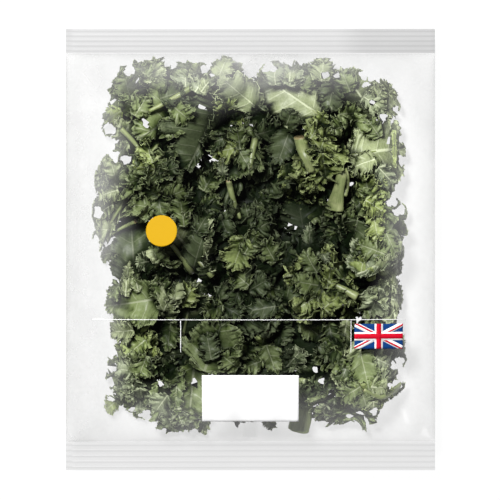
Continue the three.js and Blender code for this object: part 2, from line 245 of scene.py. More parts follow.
class Finish:
    """A material with one Principled shader."""

    def __init__(self, name, **constants):
        self.material = bpy.data.materials.new(name)
        self.material.use_nodes = True
        self.tree = self.material.node_tree
        self.tree.nodes.clear()
        output = self.tree.nodes.new("ShaderNodeOutputMaterial")
        self.shader = self.tree.nodes.new("ShaderNodeBsdfPrincipled")
        self.tree.links.new(self.shader.outputs["BSDF"], output.inputs["Surface"])
        self.fill(self.shader, {key.replace("_", " "): value for key, value in constants.items()})

    def fill(self, node, inputs):
        for key, value in inputs.items():
            socket = node.inputs[key]
            if isinstance(value, Value):
                self.tree.links.new(value.socket, socket)
            elif hasattr(value, "__len__"):
                filled = list(value)
                if len(filled) == 3 and len(socket.default_value) == 4:
                    filled.append(1.0)
                socket.default_value = filled
            else:
                socket.default_value = value

    def node(self, kind, settings=None, inputs=None):
        made = self.tree.nodes.new(kind)
        for key, value in (settings or {}).items():
            setattr(made, key, value)
        self.fill(made, inputs or {})
        return Outputs(self, made)

    def drive(self, **inputs):
        self.fill(self.shader, {key.replace("_", " "): value for key, value in inputs.items()})
        return self

    def place(self):
        return self.node("ShaderNodeTexCoord")["Object"]

    def noise(self, vector, scale, detail=2.0, roughness=0.5):
        inputs = {"Vector": vector, "Scale": scale, "Detail": detail, "Roughness": roughness}
        return self.node("ShaderNodeTexNoise", {}, inputs)["Fac"]

    def attribute(self, name):
        return self.node("ShaderNodeAttribute", {"attribute_name": name})["Fac"]

    def mix(self, factor, first, second):
        made = self.tree.nodes.new("ShaderNodeMix")
        made.data_type = "RGBA"
        self.fill(made, {0: factor, 6: first, 7: second})
        return Value(self, made.outputs[2])

    def steps(self, value, low, high):
        inputs = {"Value": value, "From Min": low, "From Max": high, "To Min": 0.0, "To Max": 1.0}
        return self.node("ShaderNodeMapRange", {"interpolation_type": "SMOOTHSTEP"}, inputs)["Result"]

    def bump(self, height, strength, distance):
        inputs = {"Height": height, "Strength": strength, "Distance": distance}
        return self.node("ShaderNodeBump", {}, inputs)["Normal"]


def leaf_finish(name, blade, vein, margin_highlight, vein_share):
    """A kale blade: mottled and quilted, with veins that branch from its rib. Its margins, curl crests,
    crinkled lines, frizz points and rim carry painted highlights; small pockets, frizz troughs, a band
    inside its rim and the heap's hollows carry painted shade.
    """
    finish = Finish(name, Roughness=0.6, Specular_IOR_Level=0.06, Coat_Roughness=0.4, Coat_IOR=1.5)
    uv = finish.node("ShaderNodeUVMap", {"uv_map": "lay"})["UV"]
    place = finish.place()
    settings = {"feature": "DISTANCE_TO_EDGE"}
    cells = finish.node("ShaderNodeTexVoronoi", settings, {"Vector": uv, "Scale": 0.3})["Distance"]
    net = 1 - finish.steps(cells, 0.0, 0.1)
    mottle = finish.noise(place, 95.0, 3.0, 0.6)
    fine = finish.noise(place, 900.0, 3.0, 0.6)
    edge = finish.attribute("edge")
    branch = finish.node("ShaderNodeMath", {"operation": "FRACT"}, {0: finish.attribute("branch")})["Value"]
    aside = abs(branch - 0.5) * finish.attribute("gap")
    lateral = (1 - finish.steps(aside, 0.1, 0.3 + 0.4 * vein_share)) * (1 - edge * 0.5)
    rib = 1 - finish.steps(finish.attribute("ribside"), 0.7, 1.15)
    # Masks for a painted highlight along the rim and painted shade in a band inside it.
    rim = finish.steps(edge, 0.9, 1.0)
    rim_shade = finish.steps(edge, 0.35, 0.75) * (1 - finish.steps(edge, 0.8, 0.95))
    pale = 1.0 if vein_share > 0.8 else 0.0
    # Masks for painted highlights on crinkled lines and frizz points and painted shade in small pockets and
    # frizz troughs; all are also bumped.
    curls = finish.noise(place, 210.0, 3.0, 0.55)
    lit_crinkle = 1 - finish.steps(abs(curls - 0.5), 0.005, 0.045)
    shaded_pits = finish.steps(finish.noise(place, 340.0, 2.0, 0.5), 0.5, 0.62)
    frizz = finish.noise(place, 640.0, 2.0, 0.5)
    shaded_dips, lit_tips = finish.steps(frizz, 0.5, 0.66), finish.steps(0 - frizz, -0.47, -0.33)

    def tinted(share, gain):
        return tuple(min(1.0, share * v + gain * c) for v, c in zip(vein, blade))

    r, g, b = blade
    tone, crest_highlight, thin = (finish.attribute(key) for key in ("tone", "crest_highlight", "thin"))
    base = finish.mix(finish.steps(mottle, 0.3, 0.72), tinted(0, 0.6), tinted(0, 1.45))
    # Painted highlight: the margin is lighter towards its edge, where the curls catch the light.
    base = finish.mix(edge * 0.7, base, tinted(0, margin_highlight))
    # Painted shade in small pockets of noise, stronger towards the margin; they are also bumped.
    base = finish.mix(shaded_pits * (0.16 + 0.52 * edge), base, tinted(0, 0.27))
    base = finish.mix(tone * 0.45, base, tinted(0.05, 1.8))
    base = finish.mix(0.5 - tone, base, (0.42 * r, 0.62 * g, 0.35 * b))
    # Painted highlight on the crests of the curls, stronger towards the margin.
    base = finish.mix(crest_highlight * (0.42 + 0.3 * edge), base, tinted(0.43, 1.3))
    # Painted light where the heap is thin towards its outline, stronger on the crests.
    base = finish.mix(thin * (0.25 + 0.65 * crest_highlight) * (1 - 0.45 * pale), base, tinted(0.5, 1.7))
    # Painted highlight along crinkled lines near the margin, which are also bumped.
    base = finish.mix(lit_crinkle * edge * 0.6, base, tinted(0.36, 1.9))
    # Painted shade in the troughs of the fine frizz, then painted highlights on its points; both are also
    # bumped.
    base = finish.mix(shaded_dips * (0.12 + 0.6 * edge) * (1 - 0.4 * pale), base, tinted(0, 0.35))
    base = finish.mix(lit_tips * (0.06 + 0.44 * edge) * (1 - 0.4 * pale), base, tinted(0.42, 1.9))
    base = finish.mix(net * vein_share * (0.4 + 0.2 * pale) * (1 - edge * 0.7), base, tinted(0.5, 0.8))
    base = finish.mix(lateral * vein_share * (1 - 0.35 * pale), base, tinted(0.85, 0.6))
    base = finish.mix(rib * (0.35 + 0.65 * vein_share), base, tinted(1.0, 0.4))
    # Painted shade in a band inside the margin, then a painted highlight along the rim itself.
    base = finish.mix(rim_shade * 0.35, base, tinted(0, 0.3))
    base = finish.mix(rim * 0.8, base, tinted(0.6, 1.5))
    # Painted shade: near black in the heap's hollows, with less coat there.
    hollow_shade = finish.attribute("hollow_shade")
    base = finish.mix(hollow_shade, base, (0.0025, 0.006, 0.0012))
    height = cells * -0.5 + fine * 0.15 + lateral * 0.2
    height = height + lit_crinkle * edge * 0.5 - shaded_pits * edge * 0.4 - frizz * edge
    return finish.drive(
        Base_Color=base,
        Roughness=0.5 + fine * 0.25,
        Coat_Weight=0.4 * (1 - hollow_shade) * (0.5 + fine),
        Normal=finish.bump(height, 0.8, 0.001),
    ).material


def stalk_finish(name, colour, cut, shaded):
    """A stalk: fine lengthwise streaks, paler on its cut ends, with painted shade in the heap's hollows."""
    finish = Finish(name, Roughness=0.38, Specular_IOR_Level=0.5)
    uv = finish.node("ShaderNodeUVMap", {"uv_map": "lay"})["UV"]
    stretched = finish.node("ShaderNodeMapping", {}, {"Vector": uv, "Scale": (0.05, 1.4, 1.0)})["Vector"]
    streak = finish.noise(stretched, 2.2, 3.0, 0.6)
    blotch = finish.noise(finish.place(), 120.0, 2.0)
    deep = tuple(c * 0.6 for c in colour)
    base = finish.mix(finish.steps(streak, 0.3, 0.7), deep, colour)
    base = finish.mix(finish.steps(blotch, 0.45, 0.75) * 0.5, base, cut)
    base = finish.mix(finish.attribute("cut"), base, cut)
    # Painted shade in the heap's hollows, as strong as shaded.
    base = finish.mix(finish.attribute("hollow_shade") * shaded, base, tuple(0.1 * c for c in colour))
    return finish.drive(
        Base_Color=base, Roughness=0.3 + streak * 0.25, Normal=finish.bump(streak, 0.3, 0.0004)
    ).material


def film_finish(name, settings):
    """Clear film that dims what lies under it a little, milky along the folds and the seals, with painted
    glare near the top seal's middle, painted shade at its top and corners and painted light towards its
    right.
    """
    finish = Finish(name, Roughness=0.4, Specular_IOR_Level=0.08, IOR=1.5)
    place = finish.place()
    apart = finish.node("ShaderNodeSeparateXYZ", {}, {"Vector": place})
    wander = finish.noise(place, 22.0, 2.0)
    x = apart["X"] + (wander - 0.5) * 0.03
    y = apart["Y"] + (wander - 0.5) * 0.03
    left = finish.steps(0 - x, 0.074, 0.112) * 1.28
    right = finish.steps(x, 0.078, 0.118) * 0.93
    # Painted glare: a milky patch by the middle of the top seal, added to the haze at the top.
    glare = finish.steps(x, -0.035, -0.01) * (1 - finish.steps(x, 0.01, 0.045))
    glare = glare * finish.steps(y, 0.1, 0.118)
    top = finish.steps(y, 0.088, 0.13) * 0.95 + glare * 0.45
    bottom = finish.steps(0 - y, 0.08, 0.13) * 0.8
    cloud = finish.noise(place, 55.0, 3.0, 0.55)
    haze_and_glare = left.greater(right).greater(top.greater(bottom)) * (0.5 + cloud) * settings.milky
    alpha = settings.clear + haze_and_glare
    # Painted shade: the haze is greyer at the top and the corners, most at the far corner.
    corner = finish.steps(abs(apart["X"]) / 0.125 + abs(apart["Y"]) / 0.133, 1.4, 1.95)
    far_corner = finish.steps(apart["X"] / 0.125 + apart["Y"] / 0.133, 1.25, 1.75)
    shade = top.greater(corner) * (0.8 + cloud * 0.4) + far_corner * 0.9
    # Painted light: the haze is paler towards the right side.
    side = finish.steps(apart["X"], -0.11, 0.12)
    side_lit_tint = finish.mix(side, tuple(0.9 * c for c in settings.tint), tuple(1.07 * c for c in settings.tint))
    tint = finish.mix(shade, side_lit_tint, tuple(0.84 * c for c in settings.tint))
    shoulder = finish.steps((abs(apart["X"]) / 0.125).greater(abs(apart["Y"]) / 0.131), 0.6, 0.85)
    return finish.drive(
        Base_Color=finish.mix(haze_and_glare / alpha, (0.02, 0.02, 0.02), tint),
        Alpha=alpha.lesser(0.6),
        Roughness=0.45 - 0.28 * shoulder,
        Normal=finish.bump(finish.noise(place, 260.0, 2.0), 0.08, 0.0004),
    ).material


def seal_finish(name):
    """Crimped film: two layers pressed together, greyer in the crimp lines, with painted shade over the top
    seal, most on its right part.
    """
    finish = Finish(name, Roughness=0.3, Specular_IOR_Level=0.3)
    place = finish.place()
    crimp = finish.attribute("crimp")
    cloud = finish.noise(place, 60.0, 3.0)
    fine = finish.noise(place, 700.0, 2.0)
    pressed = finish.mix(crimp, (0.12, 0.12, 0.122), (0.08, 0.08, 0.081))
    apart = finish.node("ShaderNodeSeparateXYZ", {}, {"Vector": place})
    # Painted shade: the top seal is darker, most on its right part.
    upper = finish.steps(apart["Y"], 0.0, 0.1)
    shaded = finish.steps(apart["X"], 0.055, 0.08) * upper
    return finish.drive(
        Base_Color=finish.mix(cloud * 0.5, pressed, (0.14, 0.14, 0.142)),
        Alpha=0.12 + crimp * 0.05 + cloud * 0.02 + upper * 0.035 + shaded * 0.07,
        Roughness=0.25 + fine * 0.2,
        Normal=finish.bump(fine, 0.15, 0.0003),
    ).material


def lap_finish(name, settings):
    """Two layers of clear film, lapped."""
    finish = Finish(name, Roughness=0.3, Specular_IOR_Level=0.3)
    cloud = finish.noise(finish.place(), 60.0, 3.0)
    fine = finish.noise(finish.place(), 700.0, 2.0)
    return finish.drive(
        Base_Color=finish.mix(cloud, tuple(settings.tint), (0.7, 0.71, 0.72)),
        Alpha=0.02 + finish.attribute("crimp") * 0.04,
        Roughness=0.2 + fine * 0.2,
        Normal=finish.bump(fine, 0.1, 0.0003),
    ).material


def ink_finish(name, colour):
    """Opaque print on film, very slightly uneven."""
    finish = Finish(name, Specular_IOR_Level=0.12)
    place = finish.place()
    cloud = finish.noise(place, 70.0, 3.0)
    fine = finish.noise(place, 1800.0, 2.0)
    return finish.drive(
        Base_Color=finish.mix(cloud, tuple(colour), tuple(0.93 * c for c in colour)),
        Roughness=0.55 + fine * 0.15,
        Normal=finish.bump(fine, 0.05, 0.0002),
    ).material


def floor_finish():
    """A plain white floor that gives off light of its own."""
    finish = Finish("pale_floor", Roughness=0.9, Specular_IOR_Level=0.1, Emission_Strength=0.9)
    fine = finish.noise(finish.place(), 300.0, 2.0)
    white = finish.mix(fine, (0.1, 0.1, 0.1), (0.09, 0.09, 0.09))
    return finish.drive(Base_Color=white, Emission_Color=(1.0, 1.0, 1.0)).material


# -------------------------------------------------------------------- meshes


def mesh_object(name, points, faces, materials, face_material=None, layers=None, uv=None):
    """A smooth mesh object in the scene, from points in millimetres."""
    mesh = bpy.data.meshes.new(name)
    mesh.from_pydata((np.asarray(points) * MM).tolist(), [], faces)
    for material in materials:
        mesh.materials.append(material)
    if face_material is not None:
        mesh.polygons.foreach_set("material_index", np.asarray(face_material, np.int32))
    mesh.polygons.foreach_set("use_smooth", np.ones(len(mesh.polygons), bool))
    for key, values in (layers or {}).items():
        mesh.attributes.new(key, "FLOAT", "POINT").data.foreach_set("value", np.asarray(values, np.float32))
    if uv is not None:
        corner = np.empty(len(mesh.loops), np.int32)
        mesh.loops.foreach_get("vertex_index", corner)
        layer = mesh.uv_layers.new(name="lay")
        layer.data.foreach_set("uv", np.asarray(uv, np.float32)[corner].ravel())
    mesh.validate()
    made = bpy.data.objects.new(name, mesh)
    bpy.context.scene.collection.objects.link(made)
    return made


def grid_quads(number):
    """A grid's cells, each as the numbers of its four corners."""
    return np.stack([number[:-1, :-1], number[1:, :-1], number[1:, 1:], number[:-1, 1:]], -1)


def tube_quads(rings, around):
    """A tube's wall as quads, then the numbers of its points and of those that follow them."""
    number = np.arange(rings * around).reshape(rings, around)
    following = np.roll(number, -1, axis=1)
    quads = np.stack([number[:-1], following[:-1], following[1:], number[1:]], -1)
    return quads.reshape(-1, 4), number, following


def wall_faces(nx, ny):
    """Faces of a thin closed wall: a grid of lower points, one of upper points, and their rim."""
    number = np.arange(nx * ny).reshape(nx, ny)
    quads = grid_quads(number).reshape(-1, 4)
    outline = [number[:, 0], number[-1, 1:], number[::-1, -1][1:], number[0, ::-1][1:]]
    a = np.concatenate(outline)
    over = number.size
    rim = np.stack([a[:-1], a[1:], a[1:] + over, a[:-1] + over], -1)
    return np.concatenate([quads + over, quads[:, ::-1], rim]).tolist()


def keep(made, slot, *nodes):
    """Rides a finished piece on the bag, in place of the solids that it stands for."""
    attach(made, "root")
    if nodes:
        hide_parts(*nodes)
    return made


# ---------------------------------------------------------------------- kale

Look = namedtuple("Look", "heading finish form frill", defaults=("frill", 1.0))
# Each piece: heading of its tip in degrees and finish. Then, where they aren't a frill and 1: its
# form and how strongly it is frilled, or for a stalk how much it tapers. The pieces are in the
# order in which they lie, the lowest first.
PIECES = {
    # The deep and dark finishes are painted shade: darker copies of the green leaf for pieces low in the
    # heap.
    "under_piece_1": (0, "deep", "blade", 0.9),
    "under_piece_2": (67, "deep"),
    "under_piece_3": (134, "deep", "blade", 0.9),
    "under_piece_4": (201, "deep"),
    "under_piece_5": (268, "deep", "blade", 0.9),
    "under_piece_6": (335, "deep"),
    "under_piece_7": (402, "deep", "blade", 0.9),
    "under_piece_8": (469, "deep"),
    "dark_frill_centre_top": (70, "dark"),
    "dark_blade_right": (250, "dark", "blade", 0.8),
    "round_blade_left": (95, "dark", "blade", 0.7),
    "dark_frill_left_top": (200, "dark"),
    "frill_top_right_of_centre": (85, "grey"),
    "dark_blade_top_left": (325, "dark", "blade", 0.6),
    "dark_frill_centre": (140, "dark"),
    "dark_frill_lower_centre": (20, "dark"),
    "dark_blade_lower_right": (215, "dark", "blade", 0.8),
    "frill_right_low": (15, "green"),
    "smooth_blade_lower_left": (250, "green", "blade", 0.5),
    "dark_frill_right_edge": (340, "green"),
    "frill_top_left_corner": (150, "green"),
    "blade_top_left": (102, "green", "blade", 0.8),
    "frill_top": (82, "green"),
    "frill_upper_left_edge": (192, "green"),
    "pale_blade_upper_left": (128, "pale", "blade", 0.8),
    "tip_top_centre": (98, "pale", "frill", 0.7),
    "long_rib_blade_top_left": (210, "green", "side", 0.6),
    "folded_blade_left_of_centre": (245, "dark", "side", 0.5),
    "pale_edge_frill_left": (168, "pale"),
    "pale_rib_blade_left_edge": (230, "pale", "side", 0.7),
    "blade_tip_top_right": (100, "pale", "blade", 0.5),
    "tip_far_top_right": (55, "pale", "frill", 0.8),
    "folded_blade_top_right": (125, "pale", "blade", 0.5),
    "frill_right_upper": (60, "green"),
    "frill_right_inner": (280, "green"),
    "pale_strip_right_edge": (275, "pale", "side", 0.5),
    "frill_left_of_centre": (150, "green", "frill", 1.1),
    "blade_above_centre": (245, "green", "blade", 0.8),
    "bright_frill_lower_left": (115, "bright"),
    "frill_lower_left_edge": (165, "green"),
    "broad_blade_left": (190, "green", "blade", 0.6),
    "stalked_blade_centre_left": (130, "pale", "stalked", 0.7),
    "frill_bottom_left": (285, "green"),
    "rib_blade_bottom_left": (265, "green", "blade", 0.9),
    "pale_tip_lower_left": (78, "pale", "blade", 0.6),
    "grey_blade_lower_centre": (70, "green", "blade", 0.8),
    "wide_stalk_bottom": (258, "wide", "stalk", 0.1),
    "frill_bottom_right": (255, "green", "frill", 1.1),
    "rib_blade_lower_right": (335, "pale", "blade", 0.9),
    "stalked_tip_right_bottom": (182, "bright", "stalked", 0.8),
    "large_pale_blade_top": (145, "pale", "blade", 0.9),
    "large_pale_blade_right": (12, "pale", "stalked", 0.9),
    "stalked_frill_upper_right": (285, "bright", "stalked", 1.0),
    "stalk_end_right_of_centre": (78, "stalk", "stalk", 0.5),
    "large_frill_right_of_centre": (163, "bright", "stalked", 1.1),
    "grey_folded_blade_right": (205, "grey", "side", 0.5),
}
PIECES = {node: Look(*row) for node, row in PIECES.items()}
Loose = namedtuple(
    "Loose", "x y length width heading finish form frill raised", defaults=("frill", 1.0, True)
)
# Small pieces that lie loose on the heap: centre x and y, length and width in millimetres, heading
# of the tip in degrees and finish. Then, where they aren't a frill and 1: its form and how strongly
# it is frilled.
# Its dark pieces are painted shade, in a darker copy of the green leaf.
LOOSE = (
    (-85, 112, 20, 20, 110, "green"),
    (-74, 122, 14, 14, 120, "green"),
    (-67, 122, 19, 18, 85, "pale"),
    (-96, 93, 15, 15, 195, "bright", "frill", 0.9),
    (-83, 99, 17, 18, 150, "green"),
    (-74, 96, 14, 15, 60, "green"),
    (-44, 118, 18, 17, 95, "grey"),
    (-36, 120, 14, 12, 75, "pale", "frill", 0.9),
    (-29, 111, 14, 9, 55, "pale", "blade", 0.6),
    (-19, 124, 20, 17, 70, "pale", "blade", 0.6),
    (-53, 104, 16, 16, 20, "dark"),
    (-88, 68, 14, 10, 215, "pale", "frill", 0.9),
    (-47, 92, 16, 13, 320, "green"),
    (-53, 82, 14, 13, 280, "green"),
    (-68, 65, 15, 15, 110, "bright"),
    (-59, 63, 15, 14, 60, "green"),
    (-71, 55, 14, 14, 170, "bright"),
    (-63, 53, 14, 14, 300, "green"),
    (-55, 53, 13, 13, 20, "dark"),
    (-76, 47, 14, 14, 200, "green"),
    (-17, 96, 15, 14, 120, "bright"),
    (-10, 90, 14, 13, 330, "bright", "frill", 0.9),
    (-17, 67, 16, 15, 190, "bright"),
    (-8, 74, 14, 13, 100, "green"),
    (-5, 62, 15, 13, 300, "green", "frill", 0.8),
    (-0, 80, 16, 9, 10, "green", "blade", 0.7),
    (-94, 53, 22, 20, 105, "pale", "frill", 0.8),
    (-105, 48, 12, 11, 165, "grey"),
    (-81, 58, 11, 11, 150, "dark"),
    (-37, 48, 15, 14, 150, "dark"),
    (-28, 46, 15, 15, 60, "green"),
    (-19, 53, 16, 7, 90, "grey", "blade", 0.5),
    (-7, 105, 32, 25, 142, "pale", "blade", 0.7),
    (5, 90, 15, 14, 200, "dark"),
    (16, 118, 15, 16, 95, "grey"),
    (28, 117, 16, 16, 75, "grey"),
    (38, 115, 15, 15, 50, "green"),
    (27, 122, 19, 11, 85, "pale", "blade", 0.7),
    (65, 114, 15, 14, 110, "green", "frill", 0.9),
    (84, 100, 17, 16, 330, "grey"),
    (89, 108, 12, 11, 60, "pale", "frill", 0.9),
    (97, 101, 17, 13, 265, "pale", "blade", 0.7),
    (54, 103, 17, 17, 260, "dark"),
    (67, 92, 15, 15, 10, "green"),
    (72, 84, 15, 14, 300, "green"),
    (62, 83, 15, 14, 200, "green"),
    (45, 83, 20, 10, 62, "bright", "frill", 0.8),
    (48, 70, 19, 18, 70, "bright"),
    (56, 65, 18, 16, 20, "bright"),
    (50, 55, 19, 18, 280, "bright"),
    (42, 61, 15, 13, 200, "green"),
    (84, 82, 13, 13, 130, "green", "frill", 0.8),
    (93, 50, 17, 16, 320, "grey"),
    (101, 72, 24, 6, 270, "bright", "blade", 0.5),
    (12, 80, 18, 14, 20, "dark", "frill", 0.9),
    (25, 86, 15, 15, 70, "dark"),
    (23, 71, 26, 24, 250, "dark", "blade", 0.5),
    (13, 61, 16, 16, 120, "green"),
    (8, 53, 13, 13, 200, "dark"),
    (27, 50, 17, 16, 280, "bright"),
    (44, 46, 14, 12, 250, "bright", "frill", 0.8),
    (-99, 39, 17, 16, 190, "pale", "frill", 0.9),
    (-101, 29, 13, 12, 200, "pale", "frill", 0.9),
    (-103, 14, 17, 16, 175, "pale"),
    (-100, -3, 16, 11, 190, "pale"),
    (-68, 40, 15, 15, 140, "green"),
    (-58, 41, 14, 14, 60, "green"),
    (-50, 38, 14, 14, 20, "green"),
    (-72, 29, 15, 14, 170, "green"),
    (-61, 29, 14, 14, 280, "green"),
    (-46, 25, 20, 12, 100, "green", "frill", 0.8),
    (-34, 34, 16, 15, 110, "dark"),
    (-27, 31, 14, 14, 30, "green"),
    (-18, 17, 17, 14, 290, "dark"),
    (-8, -2, 22, 20, 250, "bright", "frill", 0.8),
    (-15, -13, 16, 14, 240, "bright", "frill", 0.8),
    (0, 4, 16, 14, 60, "green", "frill", 0.9),
    (-70, -8, 14, 14, 190, "grey"),
    (-63, -6, 15, 14, 110, "green"),
    (-57, -11, 14, 13, 300, "green"),
    (-60, -18, 12, 11, 260, "pale", "frill", 0.9),
    (-35, -1, 30, 21, 72, "dark", "blade", 0.6),
    (-84, -21, 22, 8, 84, "pale", "blade", 0.4),
    (-78, -20, 18, 8, 105, "pale", "blade", 0.4),
    (-94, -29, 11, 11, 230, "green"),
    (-60, -29, 17, 14, 110, "green", "frill", 0.9),
    (-51, -31, 16, 11, 85, "pale"),
    (-43, -32, 14, 13, 60, "bright"),
    (-55, -42, 16, 11, 95, "pale", "frill", 0.8),
    (-25, -40, 14, 13, 200, "green"),
    (-12, -42, 14, 14, 330, "dark"),
    (10, 33, 14, 12, 100, "green", "blade", 0.8),
    (31, 42, 16, 15, 110, "bright"),
    (36, 38, 15, 13, 40, "bright"),
    (29, 29, 15, 14, 230, "green"),
    (18, 37, 15, 15, 180, "dark"),
    (47, 26, 16, 14, 280, "green", "frill", 0.9),
    (59, 17, 15, 14, 120, "green"),
    (55, 9, 13, 13, 230, "dark"),
    (65, 19, 13, 13, 20, "green"),
    (70, 9, 22, 20, 260, "dark", "blade", 0.4),
    (79, 41, 17, 17, 100, "bright"),
    (87, 40, 16, 14, 50, "bright"),
    (76, 32, 15, 15, 200, "green"),
    (84, 29, 16, 15, 330, "bright"),
    (84, 16, 19, 14, 280, "bright"),
    (97, 23, 13, 9, 60, "green"),
    (100, 15, 18, 18, 20, "green"),
    (96, 4, 16, 14, 300, "green"),
    (82, 0, 21, 13, 160, "green", "frill", 0.8),
    (40, 6, 21, 10, 88, "grey", "blade", 0.4),
    (48, -2, 14, 12, 300, "grey", "blade", 0.6),
    (51, -11, 9, 5, 10, "bright", "blade", 0.5),
    (41, -9, 16, 13, 120, "green", "frill", 0.9),
    (53, -19, 15, 12, 80, "bright"),
    (65, -13, 16, 15, 70, "green"),
    (39, -23, 18, 17, 170, "green"),
    (48, -29, 17, 16, 250, "bright"),
    (38, -36, 17, 15, 215, "bright", "frill", 0.8),
    (57, -32, 13, 12, 300, "green"),
    (84, -36, 21, 21, 250, "grey", "frill", 1.1),
    (90, -29, 15, 14, 60, "pale"),
    (103, -13, 12, 10, 10, "pale"),
    (103, -27, 10, 9, 340, "pale"),
    (95, -19, 17, 12, 280, "pale", "blade", 0.5),
    (13, -2, 16, 15, 120, "green", "frill", 0.9),
    (24, -3, 17, 14, 270, "dark", "frill", 0.8),
    (8, 16, 15, 14, 30, "dark"),
    (-2, 23, 14, 14, 100, "dark"),
    (8, -40, 18, 15, 190, "dark", "blade", 0.7),
    (24, -43, 14, 14, 250, "green"),
    (57, -44, 16, 15, 200, "bright"),
    (67, -44, 15, 13, 280, "bright", "frill", 0.9),
    (-88, -56, 17, 15, 190, "pale", "frill", 0.9),
    (-78, -67, 19, 17, 220, "bright"),
    (-83, -82, 19, 18, 180, "grey", "frill", 1.1),
    (-73, -79, 15, 14, 250, "green"),
    (-87, -95, 15, 13, 200, "grey"),
    (-79, -95, 15, 14, 270, "grey"),
    (-90, -103, 12, 10, 215, "green", "frill", 0.7),
    (-100, -112, 15, 12, 225, "bright", "blade", 0.7),
    (-75, -103, 19, 15, 265, "grey", "blade", 0.6),
    (-61, -105, 17, 15, 235, "grey"),
    (-55, -116, 17, 15, 265, "grey"),
    (-48, -114, 14, 12, 285, "grey"),
    (-50, -97, 27, 12, 268, "green", "blade", 0.5),
    (-42, -116, 14, 12, 280, "green", "frill", 0.9),
    (-32, -120, 15, 9, 258, "pale", "blade", 0.7),
    (-54, -72, 17, 8, 185, "pale", "blade", 0.6),
    (-55, -57, 22, 13, 262, "green", "blade", 0.6),
    (-54, -84, 18, 14, 80, "dark", "frill", 0.9),
    (-61, -79, 14, 13, 200, "dark"),
    (-14, -76, 14, 14, 140, "green"),
    (-2, -68, 14, 12, 40, "green", "frill", 0.9),
    (8, -65, 15, 13, 80, "bright"),
    (14, -74, 19, 16, 290, "green", "blade", 0.7),
    (29, -75, 18, 15, 50, "grey", "frill", 0.9),
    (2, -78, 14, 13, 200, "green"),
    (42, -55, 20, 15, 320, "green", "blade", 0.5),
    (55, -59, 17, 15, 280, "green"),
    (64, -59, 22, 10, 262, "pale", "blade", 0.5),
    (55, -75, 16, 16, 190, "green"),
    (63, -81, 13, 12, 300, "green"),
    (77, -83, 29, 21, 283, "green", "blade", 0.6),
    (92, -78, 18, 16, 330, "grey", "frill", 1.1),
    (97, -69, 16, 12, 10, "grey"),
    (104, -68, 9, 8, 330, "pale", "frill", 0.9),
    (61, -88, 17, 15, 250, "dark", "blade", 0.6),
    (53, -96, 16, 10, 300, "dark", "frill", 0.8),
    (67, -96, 16, 15, 215, "green", "frill", 0.9),
    (90, -94, 18, 16, 350, "pale", "frill", 1.1),
    (103, -102, 22, 9, 5, "grey", "blade", 0.6),
    (67, -107, 16, 15, 250, "green"),
    (55, -109, 15, 13, 260, "grey", "blade", 0.6),
    (-7, -19, 16, 15, 140, "green", "frill", 0.9),
    (5, -24, 15, 14, 30, "dark"),
    (-9, -31, 15, 12, 250, "dark"),
    (14, -32, 17, 11, 290, "green", "blade", 0.6),
    (-26, -19, 22, 18, 250, "dark", "blade", 0.6),
    (-22, -26, 18, 16, 100, "dark"),
    (19, -56, 19, 17, 300, "dark"),
    (25, -32, 16, 15, 80, "dark"),
    (-32, 18, 16, 15, 60, "dark"),
    (-19, 85, 18, 16, 40, "dark"),
    (-25, 72, 14, 13, 200, "dark"),
    (18, 22, 16, 14, 120, "dark"),
    (105, -3, 12, 11, 10, "pale"),
    (104, -36, 13, 12, 350, "pale"),
    (49, 122, 18, 17, 80, "pale"),
    (-19, 105, 15, 13, 130, "pale"),
    (-33, 112, 16, 15, 60, "grey"),
    (-54, -33, 20, 17, 60, "pale", "blade", 0.8),
    (94, -12, 20, 19, 20, "pale", "blade", 0.9),
    (74, -15, 17, 16, 80, "bright"),
    (37, 59, 16, 13, 100, "bright"),
    (76, 58, 18, 16, 200, "pale"),
    (55, -35, 15, 14, 40, "bright"),
    (94, -88, 18, 15, 340, "pale"),
    (-28, -66, 17, 16, 100, "dark"),
    (56, -69, 16, 15, 200, "dark"),
    (78, -105, 15, 15, 290, "green"),
    (84, -111, 16, 12, 275, "pale", "frill", 0.8),
    (48, -110, 12, 12, 235, "grey"),
    (13, -120, 9, 8, 300, "grey", "frill", 0.9),
    (36, -99, 16, 14, 110, "dark"),
    (42, -94, 16, 15, 30, "dark"),
)
# Loose pieces that lie on the bag's back, under the heap, in the painted shade of the deep and dark
# finishes.
SUNK = (
    (34, 25, 30, 30, 100, "deep"),
    (-10, 104, 30, 26, 80, "deep"),
    (-25, 99, 24, 22, 60, "deep"),
    (25, -97, 30, 30, 250, "deep"),
    (-4, -105, 30, 28, 200, "deep"),
    (-68, -27, 30, 28, 30, "deep"),
    (-67, -60, 32, 30, 330, "deep"),
    (40, -69, 30, 30, 30, "deep"),
    (48, -92, 26, 26, 70, "deep"),
    (64, 40, 26, 26, 60, "deep"),
    (74, 17, 30, 28, 290, "deep"),
    (-83, 30, 24, 22, 90, "deep"),
    (-49, 98, 28, 24, 50, "deep"),
    (54, 95, 26, 26, 120, "deep"),
    (85, -55, 28, 26, 280, "deep"),
    (-26, -99, 26, 26, 240, "deep"),
    (-37, 74, 28, 24, 240, "deep"),
    (-88, 88, 24, 22, 120, "dark"),
)
LOOSE = [Loose(*row) for row in LOOSE] + [Loose(*row, raised=False) for row in SUNK]
